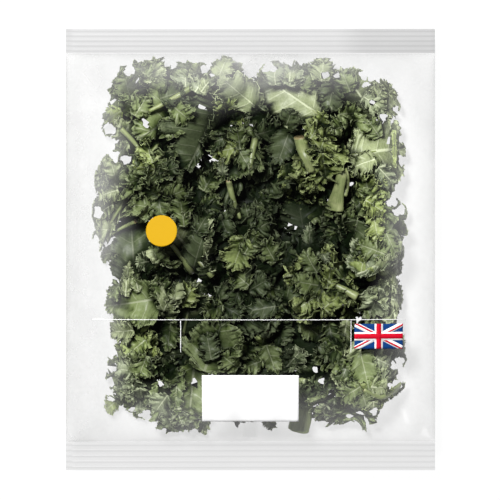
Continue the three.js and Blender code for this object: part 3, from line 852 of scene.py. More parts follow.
# Loose stalks: three points along each, in millimetres, its radius at either end, then how far it
# is raised over the heap.
LOOSE_STALKS = (
    (((34, 76), (36, 66), (41, 53)), 5.0, 3.4, 3.5),
    (((4, 78), (1, 64), (-1, 48)), 2.6, 1.3, 3.0),
    (((-15, 47), (-12, 35), (-7, 21)), 2.3, 1.2, 2.5),
    (((-40, -15), (-46, -6), (-53, 3)), 2.4, 1.4, 3.0),
    (((-78, 19), (-90, 14), (-99, 9)), 1.4, 0.8, 4.5),
    (((72, -32), (63, -27), (51, -21)), 3.0, 1.4, 4.0),
    (((-88, 82), (-80, 74), (-70, 62)), 1.8, 1.0, 4.5),
    (((-28, 117), (-47, 104), (-68, 93)), 2.6, 1.3, 5.5),
    (((63, 36), (65, 44), (64, 54)), 1.9, 1.2, 1.5),
    (((103, -99), (90, -101), (76, -94)), 2.6, 1.3, 3.0),
)
# Where the kale under the loose pieces stands higher: middle, reach and lift in millimetres.
MOUNDS = ((-8, 104, 24, 22), (-54, -33, 14, 6))
UNDERSIDES = ("pale", "grey")
CELL = 2.0  # millimetres, of the grids that hold what lies over and under each piece
GRID_HALF_LENGTH = 150.0
# In millimetres: how far the grids keep from the film, how far a point keeps from it and from the
# pieces over and under it, and the least room that a piece is given.
BACK_CLEARANCE, FRONT_CLEARANCE = 1.3, 1.0
BACK_LEAST, FRONT_LEAST, PIECE_LEAST = 1.1, 0.9, 0.4
LEAST_ROOM = 2.4
# How far into a piece of each form those over it reach down, and those under it reach up.
REACH_DOWN, REACH_DOWN_ELSE = {"frill": 6.0}, 2.5
REACH_UP, REACH_UP_ELSE = {"frill": 7.0, "stalked": 4.0}, 0.2


def node_points(node):
    """A solid's triangles in millimetres, one row of three points each."""
    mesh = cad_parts[node].data
    mesh.calc_loop_triangles()
    points = np.empty(len(mesh.vertices) * 3)
    mesh.vertices.foreach_get("co", points)
    corners = np.empty(len(mesh.loop_triangles) * 3, np.int32)
    mesh.loop_triangles.foreach_get("vertices", corners)
    return points.reshape(-1, 3)[corners].reshape(-1, 3, 3) / MM


# The larger gaps through the heap, where the overhead view shows them at the seals' height:
# middle, then half the width and half the length of each, in millimetres.
LARGE_GAPS = (
    (-31, 122, 3, 3), (13, 123, 5, 3), (27, 127, 3, 3), (77, 118, 3, 3),  # top edge
    (-82, 121, 4, 3), (-95, 81, 4, 3), (-92, 63, 4, 3), (-84, 61, 4, 3), (-103, 25, 3, 4), (-105, 5, 3, 4),
    (-95, -71, 3, 3), (-94, -80, 3, 4), (-95, -90, 3, 3), (-71, -112, 4, 3),  # left edge
    (90, 90, 3, 2), (103, 60, 3, 3), (96, 32, 4, 3), (102, 27, 3, 3), (101, -76, 3, 3), (99, -92, 3, 3),
    (27, -121, 3, 3), (1, -123, 3, 3), (52, -121, 3, 3), (66, -131, 16, 12),  # bottom edge
    (-33, 97, 3, 2), (-71, 86, 2, 3), (-53, -6, 2, 2), (29, 15, 2, 2), (59, 49, 2, 2), (67, 44, 2, 2),
    (-61, -91, 2, 2), (-38, -91, 2, 3), (48, -90, 2, 3), (44, -81, 2, 2), (55, -98, 2, 3),  # inside
)
SMALL_GAPS = 34
GAP_CORE = 0.6  # of a gap's size: what lies nearer its middle is cut away
GAP_REACH = 1.8  # what lies nearer than this is pushed outwards


def all_gaps():
    """The larger gaps, then small ones strewn round the edge of the heap, where it is thin."""
    rng = np.random.default_rng(12)
    turn = 2 * np.pi * (np.arange(SMALL_GAPS) + rng.uniform(0, 1, SMALL_GAPS)) / SMALL_GAPS
    out = rng.uniform(0.92, 1.02, SMALL_GAPS)
    x = 106 * out * np.sign(np.cos(turn)) * np.abs(np.cos(turn)) ** 0.5
    y = 126 * out * np.sign(np.sin(turn)) * np.abs(np.sin(turn)) ** 0.5
    small = np.stack([x, y, rng.uniform(1.4, 2.8, SMALL_GAPS), rng.uniform(1.4, 2.8, SMALL_GAPS)], -1)
    return np.concatenate([small, np.array(LARGE_GAPS, float)])


GAPS = all_gaps()


class HeapMap:
    """Heights of the solids over and under each piece, on a grid over the bag."""

    def __init__(self):
        self.xs = np.arange(-HALF_WIDTH + CELL / 2, HALF_WIDTH, CELL)
        self.ys = np.arange(-GRID_HALF_LENGTH + CELL / 2, GRID_HALF_LENGTH, CELL)
        x, y = np.meshgrid(self.xs, self.ys, indexing="ij")
        self.back = back_height(x, y) + BACK_CLEARANCE
        self.front = front_height(x, y) - FRONT_CLEARANCE
        self.spans = {node: self.span(node) for node in PIECES}
        self.bands = self.stack()

    def span(self, node):
        low = np.full((len(self.xs), len(self.ys)), np.inf)
        high = -low
        for a, b, c in node_points(node):
            area = (b[0] - a[0]) * (c[1] - a[1]) - (c[0] - a[0]) * (b[1] - a[1])
            if abs(area) < 1e-4:
                continue
            i0, i1 = self.cells(min(a[0], b[0], c[0]), max(a[0], b[0], c[0]), self.xs)
            j0, j1 = self.cells(min(a[1], b[1], c[1]), max(a[1], b[1], c[1]), self.ys)
            x, y = self.xs[i0:i1, None], self.ys[None, j0:j1]
            wb = ((x - a[0]) * (c[1] - a[1]) - (c[0] - a[0]) * (y - a[1])) / area
            wc = ((b[0] - a[0]) * (y - a[1]) - (x - a[0]) * (b[1] - a[1])) / area
            inside = (wb >= -0.15) & (wc >= -0.15) & (wb + wc <= 1.15)
            z = (1 - wb - wc) * a[2] + wb * b[2] + wc * c[2]
            part = low[i0:i1, j0:j1]
            part[inside] = np.minimum(part, z)[inside]
            part = high[i0:i1, j0:j1]
            part[inside] = np.maximum(part, z)[inside]
        return low, high

    @staticmethod
    def cells(low, high, centres):
        first = int((low - centres[0]) / CELL) - 1
        last = int((high - centres[0]) / CELL) + 3
        return max(0, first), min(len(centres), last)

    def stack(self):
        """The room each piece has. Frills reach into each other, but not through a smooth blade."""
        names = list(PIECES)
        floors, ceilings = {}, {}
        floor = self.back.copy()
        top = self.back.copy()
        for name in names:
            floors[name] = floor.copy()
            high = self.spans[name][1]
            down = REACH_DOWN.get(PIECES[name].form, REACH_DOWN_ELSE)
            laid = np.isfinite(high)
            floor = np.where(laid, np.maximum(floor, high - down), floor)
            top = np.where(laid, np.maximum(top, high), top)
        ceiling = self.front.copy()
        for name in reversed(names):
            ceilings[name] = ceiling.copy()
            low = self.spans[name][0]
            up = REACH_UP.get(PIECES[name].form, REACH_UP_ELSE)
            ceiling = np.minimum(ceiling, low + up)
        self.top = self.soften(self.soften(top))
        return {name: (self.soften(floors[name]), self.soften(ceilings[name])) for name in names}

    @staticmethod
    def soften(field):
        for _ in range(2):
            padded = np.pad(field, 1, mode="edge")
            field = (
                padded[:-2, 1:-1] + padded[2:, 1:-1] + padded[1:-1, :-2] + padded[1:-1, 2:] + 2 * field
            ) / 6
        return field

    def settle(self, x, y, radius, rise):
        """Raises the heap where a loose piece has been laid."""
        away = (self.xs[:, None] - x) ** 2 + (self.ys[None, :] - y) ** 2
        self.top += rise * np.exp(-away / radius**2)

    def sample(self, field, x, y):
        i = np.clip((x - self.xs[0]) / CELL, 0, len(self.xs) - 1.001)
        j = np.clip((y - self.ys[0]) / CELL, 0, len(self.ys) - 1.001)
        i0, j0 = i.astype(int), j.astype(int)
        fi, fj = i - i0, j - j0
        near = field[i0, j0] * (1 - fj) + field[i0, j0 + 1] * fj
        far = field[i0 + 1, j0] * (1 - fj) + field[i0 + 1, j0 + 1] * fj
        return near * (1 - fi) + far * fi

    def confine(self, name, points):
        """Bends points that would pass through what lies over or under a piece."""
        floor, ceiling = self.bands.get(name, (self.back, self.front))
        x, y = points[..., 0], points[..., 1]
        highest = front_height(x, y) - FRONT_LEAST
        low = np.maximum(self.sample(floor, x, y) + PIECE_LEAST, back_height(x, y) + BACK_LEAST)
        high = np.minimum(self.sample(ceiling, x, y) - PIECE_LEAST, highest)
        high = np.maximum(high, low + LEAST_ROOM)
        margin = np.minimum(LEAST_ROOM, 0.4 * (high - low))
        z = points[..., 2]
        over, under = z - (high - margin), (low + margin) - z
        z = np.where(over > 0, high - margin * np.exp(-over / margin), z)
        z = np.where(under > 0, low + margin * np.exp(-under / margin), z)
        points[..., 2] = np.minimum(z, highest)


def axes(heading):
    """Unit vectors along a heading in degrees and to its left."""
    turn = math.radians(heading)
    return np.array([math.cos(turn), math.sin(turn)]), np.array([-math.sin(turn), math.cos(turn)])


class Lay:
    """Where and how one solid piece lies: its outline and a smooth surface through it."""

    def __init__(self, node, heading):
        self.along, self.left = axes(heading)
        points = node_points(node).reshape(-1, 3)
        u, v = points[:, :2] @ self.along, points[:, :2] @ self.left
        self.u0 = (u.min() + u.max()) / 2
        self.length = u.max() - u.min()
        stations = np.round((u - u.min()) / self.length * 5).astype(int)
        rib = [v[stations == i] for i in range(6)]
        self.v0 = self.middle(v[stations == 0])
        self.left_side = np.array([r.max() for r in rib]) - self.v0
        self.right_side = self.v0 - np.array([r.min() for r in rib])
        self.half = max(self.left_side.max(), self.right_side.max())
        self.low, self.high = points[:, 2].min(), points[:, 2].max()
        self.fit = self.fitted(u - self.u0, v - self.v0, points[:, 2])
        self.fold = self.bend = self.turn = self.phase = 0.0

    def crease(self, rng, fold, bend):
        """Folds the piece along its rib and bends it a little out of its solid's surface."""
        self.fold, self.bend = fold * rng.uniform(0.7, 1.3), bend * rng.uniform(0.7, 1.3)
        self.turn, self.phase = rng.uniform(0, np.pi), rng.uniform(0, 2 * np.pi)

    @staticmethod
    def middle(base):
        """The rib's place across the piece: the base ring's points lie evenly about it."""
        unique = np.unique(np.round(base, 2))
        return unique[len(unique) // 2]

    def terms(self, u, v):
        p, q = u / self.length, v / self.length
        ones = np.ones_like(p)
        return np.stack([ones, p, q, p * p, p * q, q * q, p**3, p * p * q, p * q * q, q**3], -1)

    def fitted(self, u, v, z):
        design = self.terms(u, v)
        weights = 1e-3 * np.eye(design.shape[1])
        weights[:3] = 0
        return np.linalg.solve(design.T @ design + weights, design.T @ z)

    def height(self, u, v):
        u = np.clip(u, -0.54 * self.length, 0.54 * self.length)
        v = np.clip(v, -1.06 * self.right_side.max(), 1.06 * self.left_side.max())
        return self.terms(u, v) @ self.fit

    def world(self, u, v):
        """Plan points and heights in the bag from a piece's own axes."""
        plan = (u + self.u0)[..., None] * self.along + (v + self.v0)[..., None] * self.left
        across = np.abs(v) / self.half
        z = self.height(u, v) + self.fold * self.half * (across**1.4 - 0.25)
        z = z + self.bend * np.sin((u * np.cos(self.turn) + v * np.sin(self.turn)) / 5.5 + self.phase)
        return np.concatenate([plan, z[..., None]], -1)


class Patch:
    """Where and how a small loose piece lies on the heap."""

    def __init__(self, row, heap, rng):
        self.length = row.length
        self.centre = np.array([row.x, row.y], float)
        self.along, self.left = axes(row.heading)
        self.heap, self.raised = heap, row.raised
        self.tilt = rng.uniform(-0.28, 0.28, 2)
        self.cup = rng.uniform(-0.4, 0.7)
        self.lift = rng.uniform(2.0, 4.5) if self.raised else rng.uniform(2.0, 5.0)

    def world(self, u, v):
        plan = self.centre + u[..., None] * self.along + v[..., None] * self.left
        x, y = plan[..., 0], plan[..., 1]
        field = self.heap.top if self.raised else self.heap.back
        z = self.heap.sample(field, x, y) + self.lift + self.tilt[0] * u + self.tilt[1] * v
        z = z + self.cup * (u**2 + v**2) / self.length
        return np.concatenate([plan, z[..., None]], -1)


def wobble(rng, x, waves, size):
    """Smooth seeded variation along x, which runs from 0 to 1."""
    total = np.zeros_like(x)
    for n in range(1, 4):
        total += np.sin(2 * np.pi * waves * n * x + rng.uniform(0, 2 * np.pi)) / n
    return size * total / 1.8


def grid_normals(points):
    """Unit normals of a grid of points."""
    across = np.gradient(points, axis=0)
    outward = np.gradient(points, axis=1)
    normal = np.cross(across, outward)
    return normal / np.maximum(np.linalg.norm(normal, axis=-1, keepdims=True), 1e-9)


def even_line(line, count):
    """Points evenly spaced along a line of points, and its length."""
    steps = np.concatenate([[0], np.cumsum(np.linalg.norm(np.diff(line, axis=0), axis=1))])
    even = np.linspace(0, steps[-1], count)
    return np.stack([np.interp(even, steps, column) for column in line.T], -1), steps[-1]


def smooth_line(knots, count):
    """Points evenly spaced along a smooth curve through the knots, and its length."""
    knots = np.asarray(knots, float)
    ends = np.concatenate([[2 * knots[0] - knots[1]], knots, [2 * knots[-1] - knots[-2]]])
    t = np.linspace(0, 1, 12, endpoint=False)[:, None]
    pieces = []
    for i in range(len(knots) - 1):
        a, b, c, d = ends[i : i + 4]
        cubic = 2 * b + (c - a) * t + (2 * a - 5 * b + 4 * c - d) * t**2 + (3 * b - a - 3 * c + d) * t**3
        pieces.append(cubic / 2)
    return even_line(np.concatenate(pieces + [knots[-1:]]), count)


class Sheet:
    """A leaf sheet on a fan of veins. Columns run from the cut base's left end round the tip to
    its right end. Rows run from the rib out to the margin."""

    def __init__(self, left, right, length, columns, rows, reach=0.86):
        self.rows = rows
        half = columns // 2
        self.half, self.columns = half, 2 * half
        base = -0.5 * length
        steps = np.linspace(0, 1, len(left))
        tip = (base + 1.07 * length, (left[-1] - right[-1]) / 2)
        left_knots = [(base + s * length, w) for s, w in zip(steps, left)] + [tip]
        right_knots = [(base + s * length, -w) for s, w in zip(steps, right)] + [tip]
        left_line, left_length = smooth_line(left_knots, half)
        right_line, right_length = smooth_line(right_knots, half)
        self.margin_length = left_length + right_length
        # The two lines meet at the tip, so each stops half a step short of it.
        gap = 0.5 / half
        for line in (left_line, right_line):
            line[-1] = line[-1] * (1 - gap) + line[-2] * gap
        starts = []
        for line in (left_line, right_line):
            start = np.clip(line[:, 0] - 0.55 * np.abs(line[:, 1]), base, base + reach * length)
            starts.append(np.maximum.accumulate(start))
        start = (starts[0] + starts[1]) / 2
        start = base + (start - start[0]) * (reach * length / max(1e-6, start[-1] - start[0]))
        self.start = np.concatenate([start, start[::-1]])
        self.margin = np.concatenate([left_line, right_line[::-1]])
        self.around = np.linspace(0, 1, self.columns)

    def plan(self, reach_out):
        """Plan points u and v, with the margin moved out by a share of its reach at each column."""
        r = self.rows[None, :]
        out = 1 + reach_out[:, None] * ramp(r, 0.4, 1.0) ** 1.5
        across = self.margin[:, 1:2]
        u = self.start[:, None] + (self.margin[:, 0:1] - self.start[:, None]) * r * out
        return u - 0.1 * r * (1 - r) * np.abs(across), across * r * out

    def faces(self, kept):
        """Quads of the upper copy of the sheet's kept cells, then of the lower copy and the rim."""
        rows, half = len(self.rows), self.half
        number = np.arange(self.columns * rows).reshape(self.columns, rows)
        number[half:, 0] = number[:half, 0][::-1]
        total = number.size
        quads = grid_quads(number)[kept]
        a, b = quads.ravel(), np.roll(quads, -1, axis=1).ravel()
        outline = ~np.isin(a * total + b, b * total + a) & (a != b)
        a, b = a[outline], b[outline]
        rim = np.stack([b, a, a + total, b + total], -1)
        return quads[:, ::-1], np.concatenate([quads + total, rim])


def clean_faces(quads):
    """Quads as lists, with repeated corners dropped."""
    faces = quads.tolist()
    for n in np.flatnonzero((quads == np.roll(quads, 1, axis=1)).any(1)):
        face = faces[n]
        faces[n] = [corner for k, corner in enumerate(face) if corner != face[k - 1]]
    return [face for face in faces if len(face) > 2]


Form = namedtuple("Form", "sizes starts lobes notches fold bend")
# How high each size of ruffle is, as a share of its wavelength, the row where each starts, how
# deep the lobes are and how many there are, then how folded and bent the piece is.
FORMS = {
    "blade": Form((0.2, 0.4, 0.6), (0.38, 0.52, 0.64), 0.5, 6, 0.3, 1.8),
    "frill": Form((0.32, 0.5, 0.72), (0.04, 0.18, 0.36), 0.56, 10, 0.1, 1.2),
    "side": Form((0.18, 0.4, 0.6), (0.38, 0.52, 0.64), 0.42, 6, 0.35, 1.6),
    "stalked": Form((0.28, 0.46, 0.7), (0.22, 0.36, 0.5), 0.46, 9, 0.12, 1.4),
}
COLUMNS = {"blade": 206, "side": 206, "frill": 228, "stalked": 228}
HIDDEN_COLUMNS = 90
BLADE_ROWS = np.array([0, 0.1, 0.22, 0.34, 0.46, 0.57, 0.67, 0.76, 0.84, 0.92, 1.0])
SMALL_ROWS = np.array([0, 0.24, 0.47, 0.68, 0.86, 1.0])


def ruffled(sheet, form, frill, rng, waves, place):
    """A sheet's middle surface in the bag, ruffled more finely towards its margin."""
    around = sheet.around
    r = sheet.rows[None, :]
    turns = form.notches * around + rng.uniform() + wobble(rng, around, 2, 0.4)
    notch = np.abs(np.sin(np.pi * turns))
    reach = np.hypot(sheet.margin[:, 0] - sheet.start, sheet.margin[:, 1])
    toothed = around * sheet.margin_length / 2.3 + wobble(rng, around, 5, 1.6)
    teeth = (2 * np.abs(toothed % 1 - 0.5) - 0.5) * (1 + wobble(rng, around, 13, 0.6))
    torn = max(frill, 0.85)
    reach_out = form.lobes * torn * (notch**0.6 - 0.85) + 2.8 * teeth * torn / np.maximum(reach, 4)
    reach_out += wobble(rng, around, 2, 0.12)
    u, v = sheet.plan(reach_out)

    count = max(3, int(sheet.margin_length / 2 / rng.uniform(7.0, 9.0)))
    branch = np.cumsum(1 + wobble(rng, np.linspace(0, 1, sheet.half), 3, 0.75))
    branch = branch / branch[-1] * count
    branch = np.concatenate([branch, branch[::-1] + count])[:, None] + 0 * r
    step = np.hypot(np.gradient(u, axis=0), np.gradient(v, axis=0))
    gap = step / np.maximum(np.abs(np.gradient(branch, axis=0)), 1e-3)

    points = place(u, v)
    quilt = np.sin(np.pi * (branch % 1)) ** 2 * ramp(r, 0.02, 0.3) * (1 - ramp(r, 0.6, 0.9))
    quilt += 0.5 * wobble(rng, around, 3, 1.0)[:, None] * ramp(r, 0.05, 0.5)
    blister = sum(
        np.sin(u * math.cos(t) / w + v * math.sin(t) / w + rng.uniform(0, 6))
        for t, w in zip(rng.uniform(0, np.pi, 5), (1.3, 1.6, 2.0, 2.6, 3.4))
    )
    quilt = 0.6 * quilt + 0.36 * blister * ramp(r, 0.05, 0.35)
    points = points + grid_normals(points) * quilt[..., None]
    distance = around * sheet.margin_length
    ends = 0.3 + 0.7 * ramp(np.minimum(around, 1 - around), 0.0, 0.05)[:, None]
    shrink = min(1.0, 0.4 + sheet.margin_length / 260)
    for n, (wave, size, start) in enumerate(zip(waves, form.sizes, form.starts)):
        wave = wave / MM * shrink
        phase = 2 * np.pi * distance / wave + wobble(rng, around, 3 + 2 * n, 2.2)
        slant = rng.uniform(-1, 1) * 3.0 * (1 - r)
        swell = 1 + wobble(rng, around, 4, 0.45)[:, None]
        rise = size * wave * frill * ramp(r, start, 1.02) * swell * ends
        turn = phase[:, None] + slant
        way = np.gradient(points, axis=0)
        way /= np.maximum(np.linalg.norm(way, axis=-1, keepdims=True), 1e-9)
        fold = (np.sin(2 * turn) * rise * 0.3)[..., None]
        points = points + grid_normals(points) * (np.sin(turn) * rise)[..., None] - way * fold
    marks = {"branch": branch, "gap": gap, "edge": ramp(r, 0.5, 1.0) + 0 * gap}
    return u, v, points, marks


def closed_sheet(sheet, points, thickness, ridge, under_up):
    """Upper and lower points of a closed sheet, thicker along its ridge, and which way it faces."""
    normal = grid_normals(points)
    facing = np.sign(np.mean(normal[..., 2])) or 1.0
    normal = normal * facing
    half = sheet.half
    middle = normal[:half, 0] + normal[half:, 0][::-1]
    middle /= np.maximum(np.linalg.norm(middle, axis=-1, keepdims=True), 1e-9)
    normal[:half, 0] = middle
    normal[half:, 0] = middle[::-1]
    over, under = (1.0, 0.25) if under_up else (0.25, 1.0)
    up = thickness / 2 + ridge * over
    down = thickness / 2 + ridge * under
    return points + normal * up[..., None], points - normal * down[..., None], facing


class LeafMesh:
    """Gathers the sheets and stems of one piece, or of loose pieces that lie near each other."""

    LAYERS = ("branch", "gap", "edge", "ribside", "tone")

    def __init__(self):
        self.points, self.faces, self.uv, self.kinds, self.count = [], [], [], [], 0
        self.layers = {key: [] for key in self.LAYERS}

    def add_sheet(self, sheet, shape, kind, thickness, rib_width, ridge_height, tone):
        u, v, points, marks = shape
        points, kept = parted(gathered(points))
        if not kept.all():
            kept = without_crumbs(points, kept)
        if not kept.any():
            return
        under_up = kind in UNDERSIDES
        taper = 1 - 0.72 * np.clip((u - u.min()) / (u.max() - u.min()), 0, 1)
        marks["ribside"] = np.abs(v) / (rib_width * taper)
        ridge = ridge_height * np.exp(-(marks["ribside"] ** 2))
        upper, lower, facing = closed_sheet(sheet, points, thickness, ridge, under_up)
        top, rest = sheet.faces(kept)
        if facing > 0:
            top, rest = top[:, ::-1], rest[:, ::-1]
        quads = np.concatenate([top, rest])
        marks["tone"] = np.full_like(u, tone)
        self.add_faces(quads, kind)
        self.add_points(np.concatenate([upper.reshape(-1, 3), lower.reshape(-1, 3)]))
        self.uv.append(np.tile(np.stack([u, v], -1).reshape(-1, 2), (2, 1)))
        for key in self.LAYERS:
            self.layers[key].append(np.tile(marks[key].ravel(), 2))

    def add_stem(self, line, radii, around=12):
        """A round stem along a line of points, cut square at its base."""
        line = np.asarray(line)
        way = np.gradient(line, axis=0)
        way /= np.linalg.norm(way, axis=1, keepdims=True)
        side = np.cross(way, [0, 0, 1.0])
        side /= np.linalg.norm(side, axis=1, keepdims=True)
        over = np.cross(side, way)
        angle = np.linspace(0, 2 * np.pi, around, endpoint=False)
        ring = side[:, None] * np.cos(angle)[None, :, None] + over[:, None] * np.sin(angle)[None, :, None]
        points = line[:, None] + ring * np.asarray(radii)[:, None, None]
        rings = len(line)
        quads, number, following = tube_quads(rings, around)
        first, last = rings * around, rings * around + 1
        caps = [(following[0, k], number[0, k], first, first) for k in range(around)]
        caps += [(number[-1, k], following[-1, k], last, last) for k in range(around)]
        points = gathered(np.concatenate([points.reshape(-1, 3), line[:1], line[-1:]]))
        self.add_faces(quads[:, ::-1], "stalk")
        self.add_faces(np.array(caps)[:, ::-1], "cut")
        self.add_points(points)
        along = np.concatenate([np.repeat(np.arange(rings) * 1.0, around), [0.0, rings]])
        turn = np.concatenate([np.tile(angle * 1.5, rings), [0.0, 0.0]])
        self.uv.append(np.stack([along, turn], -1))
        for key in self.LAYERS:
            self.layers[key].append(np.zeros(len(points)))

    def add_faces(self, quads, kind):
        """Adds the faces of a part whose points are added next."""
        faces = clean_faces(quads + self.count)
        self.faces += faces
        self.kinds += [kind] * len(faces)

    def add_points(self, points):
        self.points.append(points)
        self.count += len(points)

    def build(self, name, materials):
        points, uv = np.concatenate(self.points), np.concatenate(self.uv)
        used = np.zeros(len(points), bool)
        used[np.concatenate([np.array(face) for face in self.faces])] = True
        renumber = (np.cumsum(used) - 1).tolist()
        faces = [[renumber[corner] for corner in face] for face in self.faces]
        layers = {key: np.concatenate(values)[used] for key, values in self.layers.items()}
        layers["hollow_shade"] = layers["crest_highlight"] = layers["thin"] = np.zeros(int(used.sum()))
        kinds = sorted(set(self.kinds))
        index = {kind: n for n, kind in enumerate(kinds)}
        numbers = [index[kind] for kind in self.kinds]
        shown = [materials[kind] for kind in kinds]
        return mesh_object(name, points[used], faces, shown, numbers, layers, uv[used])


# The heap's outline: half its width, half its length and its middle, in millimetres, then how
# square it is, the share of its reach from which it is drawn in and how softly.
HEAP_HALF_WIDTH = 115
HEAP_HALF_LENGTH = 155
HEAP_MIDDLE = 3
HEAP_SQUARENESS = 6
DRAWN_FROM = 0.7
DRAWN_SOFTLY = 0.33
GATHERED_LEAST = 0.8  # millimetres that the heap keeps from the front film


def gathered(points):
    """Points of the heap drawn in a little at its edges, where the bag narrows."""
    x, y = points[..., 0], points[..., 1] - HEAP_MIDDLE
    p, q = np.abs(x) / HEAP_HALF_WIDTH, np.abs(y) / HEAP_HALF_LENGTH
    out = (p**HEAP_SQUARENESS + q**HEAP_SQUARENESS) ** (1 / HEAP_SQUARENESS)
    past = np.tanh((out - DRAWN_FROM) / DRAWN_SOFTLY)
    drawn = np.where(out > DRAWN_FROM, DRAWN_FROM + (1 - DRAWN_FROM) * past, out)
    share = drawn / np.maximum(out, 1e-6)
    x, y = x * share, y * share + HEAP_MIDDLE
    return np.stack([x, y, np.minimum(points[..., 2], front_height(x, y) - GATHERED_LEAST)], -1)


def parted(points):
    """A grid of points pushed out of the gaps, and which of its cells are kept."""
    nearer = (CAMERA_HEIGHT - SEAL_HEIGHT) / (CAMERA_HEIGHT - points[..., 2:])
    seen = points[..., :2] * nearer
    inside = np.zeros(points.shape[:-1], bool)
    for n, (x, y, a, b) in enumerate(GAPS):
        p, q = (seen[..., 0] - x) / a, (seen[..., 1] - y) / b
        angle = np.arctan2(q, p)
        uneven = 1 + 0.22 * np.sin(3 * angle + 1.7 * n) + 0.16 * np.sin(5 * angle + 2.9 * n)
        far = np.maximum(np.hypot(p, q) / uneven, 1e-3)
        inside |= far < GAP_CORE
        pushed = 1.0 + (far - GAP_CORE) * (GAP_REACH - 1) / (GAP_REACH - GAP_CORE)
        grown = np.where(far < GAP_REACH, np.maximum(pushed, 1.0) / far, 1.0)
        seen = np.stack([x + a * p * grown, y + b * q * grown], -1)
    corner = inside[:-1, :-1] | inside[1:, :-1] | inside[1:, 1:] | inside[:-1, 1:]
    return np.concatenate([seen / nearer, points[..., 2:]], -1), ~corner


def without_crumbs(points, kept, least=45.0):
    """The kept cells, less the torn-off bits that are smaller than least, in square millimetres."""
    across = np.linalg.norm(points[1:, :-1] - points[:-1, :-1], axis=-1)
    along = np.linalg.norm(points[:-1, 1:] - points[:-1, :-1], axis=-1)
    area, left, whole = across * along, kept.copy(), np.zeros_like(kept)
    while left.any():
        part = np.zeros_like(kept)
        part[np.unravel_index(left.argmax(), left.shape)] = True
        size = 0
        while part.sum() > size:
            size = part.sum()
            grown = part.copy()
            grown[1:] |= part[:-1]
            grown[:-1] |= part[1:]
            grown[:, 1:] |= part[:, :-1]
            grown[:, :-1] |= part[:, 1:]
            part = grown & left
        left &= ~part
        if area[part].sum() > least:
            whole |= part
    return whole


STEMS = {"stalked": (2.3, 0.62), "side": (1.6, 0.8), "blade": (1.1, 0.7)}  # radius, share of the length
SLOTS = {"deep": "dark_leaf", "dark": "dark_leaf", "green": "green_leaf", "bright": "green_leaf"}


def leaf_sizes(settings):
    """A leaf's thickness in millimetres, and the wavelengths of its ruffles in metres."""
    waves = (settings.long_ruffle, settings.middle_ruffle, settings.fine_ruffle)
    return settings.leaf_thickness / MM, waves


def leaf_piece(node, heap, materials, settings, seed):
    """One curly piece of leaf, laid as its solid lies."""
    heading, finish_name, form_name, frill = PIECES[node]
    rng = np.random.default_rng(seed)
    lay = Lay(node, heading)
    form = FORMS[form_name]
    hidden = node.startswith("under_piece")
    under_up = finish_name in UNDERSIDES
    lay.crease(rng, form.fold * (-0.6 if under_up else 1.0), form.bend)
    columns = HIDDEN_COLUMNS if hidden else COLUMNS[form_name]
    sheet = Sheet(lay.left_side, lay.right_side, lay.length, columns, BLADE_ROWS)
    mesh = LeafMesh()
    thickness, waves = leaf_sizes(settings)
    shape = ruffled(sheet, form, frill, rng, waves, lay.world)
    u, _, points, _ = shape
    heap.confine(node, points)
    rib_width = {"stalked": 1.7, "side": 1.4}.get(form_name, 1.0)
    ridge = 0.7 if under_up else 0.35
    mesh.add_sheet(sheet, shape, finish_name, thickness, rib_width, ridge, rng.uniform())
    if not hidden and form_name in STEMS and (under_up or form_name == "stalked"):
        radius, share = STEMS[form_name]
        along = np.flatnonzero(u[: sheet.half, 0] < -lay.length / 2 + share * lay.length)
        line, _ = even_line(points[along, 0], 24)
        line[0, :2] -= 1.2 * lay.along
        radii = radius * (1 - 0.75 * np.linspace(0, 1, len(line)) ** 1.3)
        line[:, 2] += 0.3 * radii
        mesh.add_stem(line, radii)
    made = mesh.build(f"{node}_leaf", materials)
    return keep(made, SLOTS.get(finish_name, "pale_leaf"), node)


# Half widths of a loose piece from its cut base to its tip, as shares of the widest.
LOOSE_BLADE = np.array([0.5, 0.85, 1.0, 0.95, 0.75, 0.4])
LOOSE_FRILL = np.array([0.4, 0.8, 1.0, 1.05, 0.95, 0.6])
# Loose pieces shorter than this, in millimetres, are made with fewer columns.
SHORT_PIECE = 20
SHORT_COLUMNS = 86
LONG_COLUMNS = 108
LOOSE_SEED = 1000
SETTLED = 1.3  # how far a loose piece raises the heap, in millimetres
# Where the top and the bottom part of the bag start, in millimetres.
TOP_PART = 47
BOTTOM_PART = -41


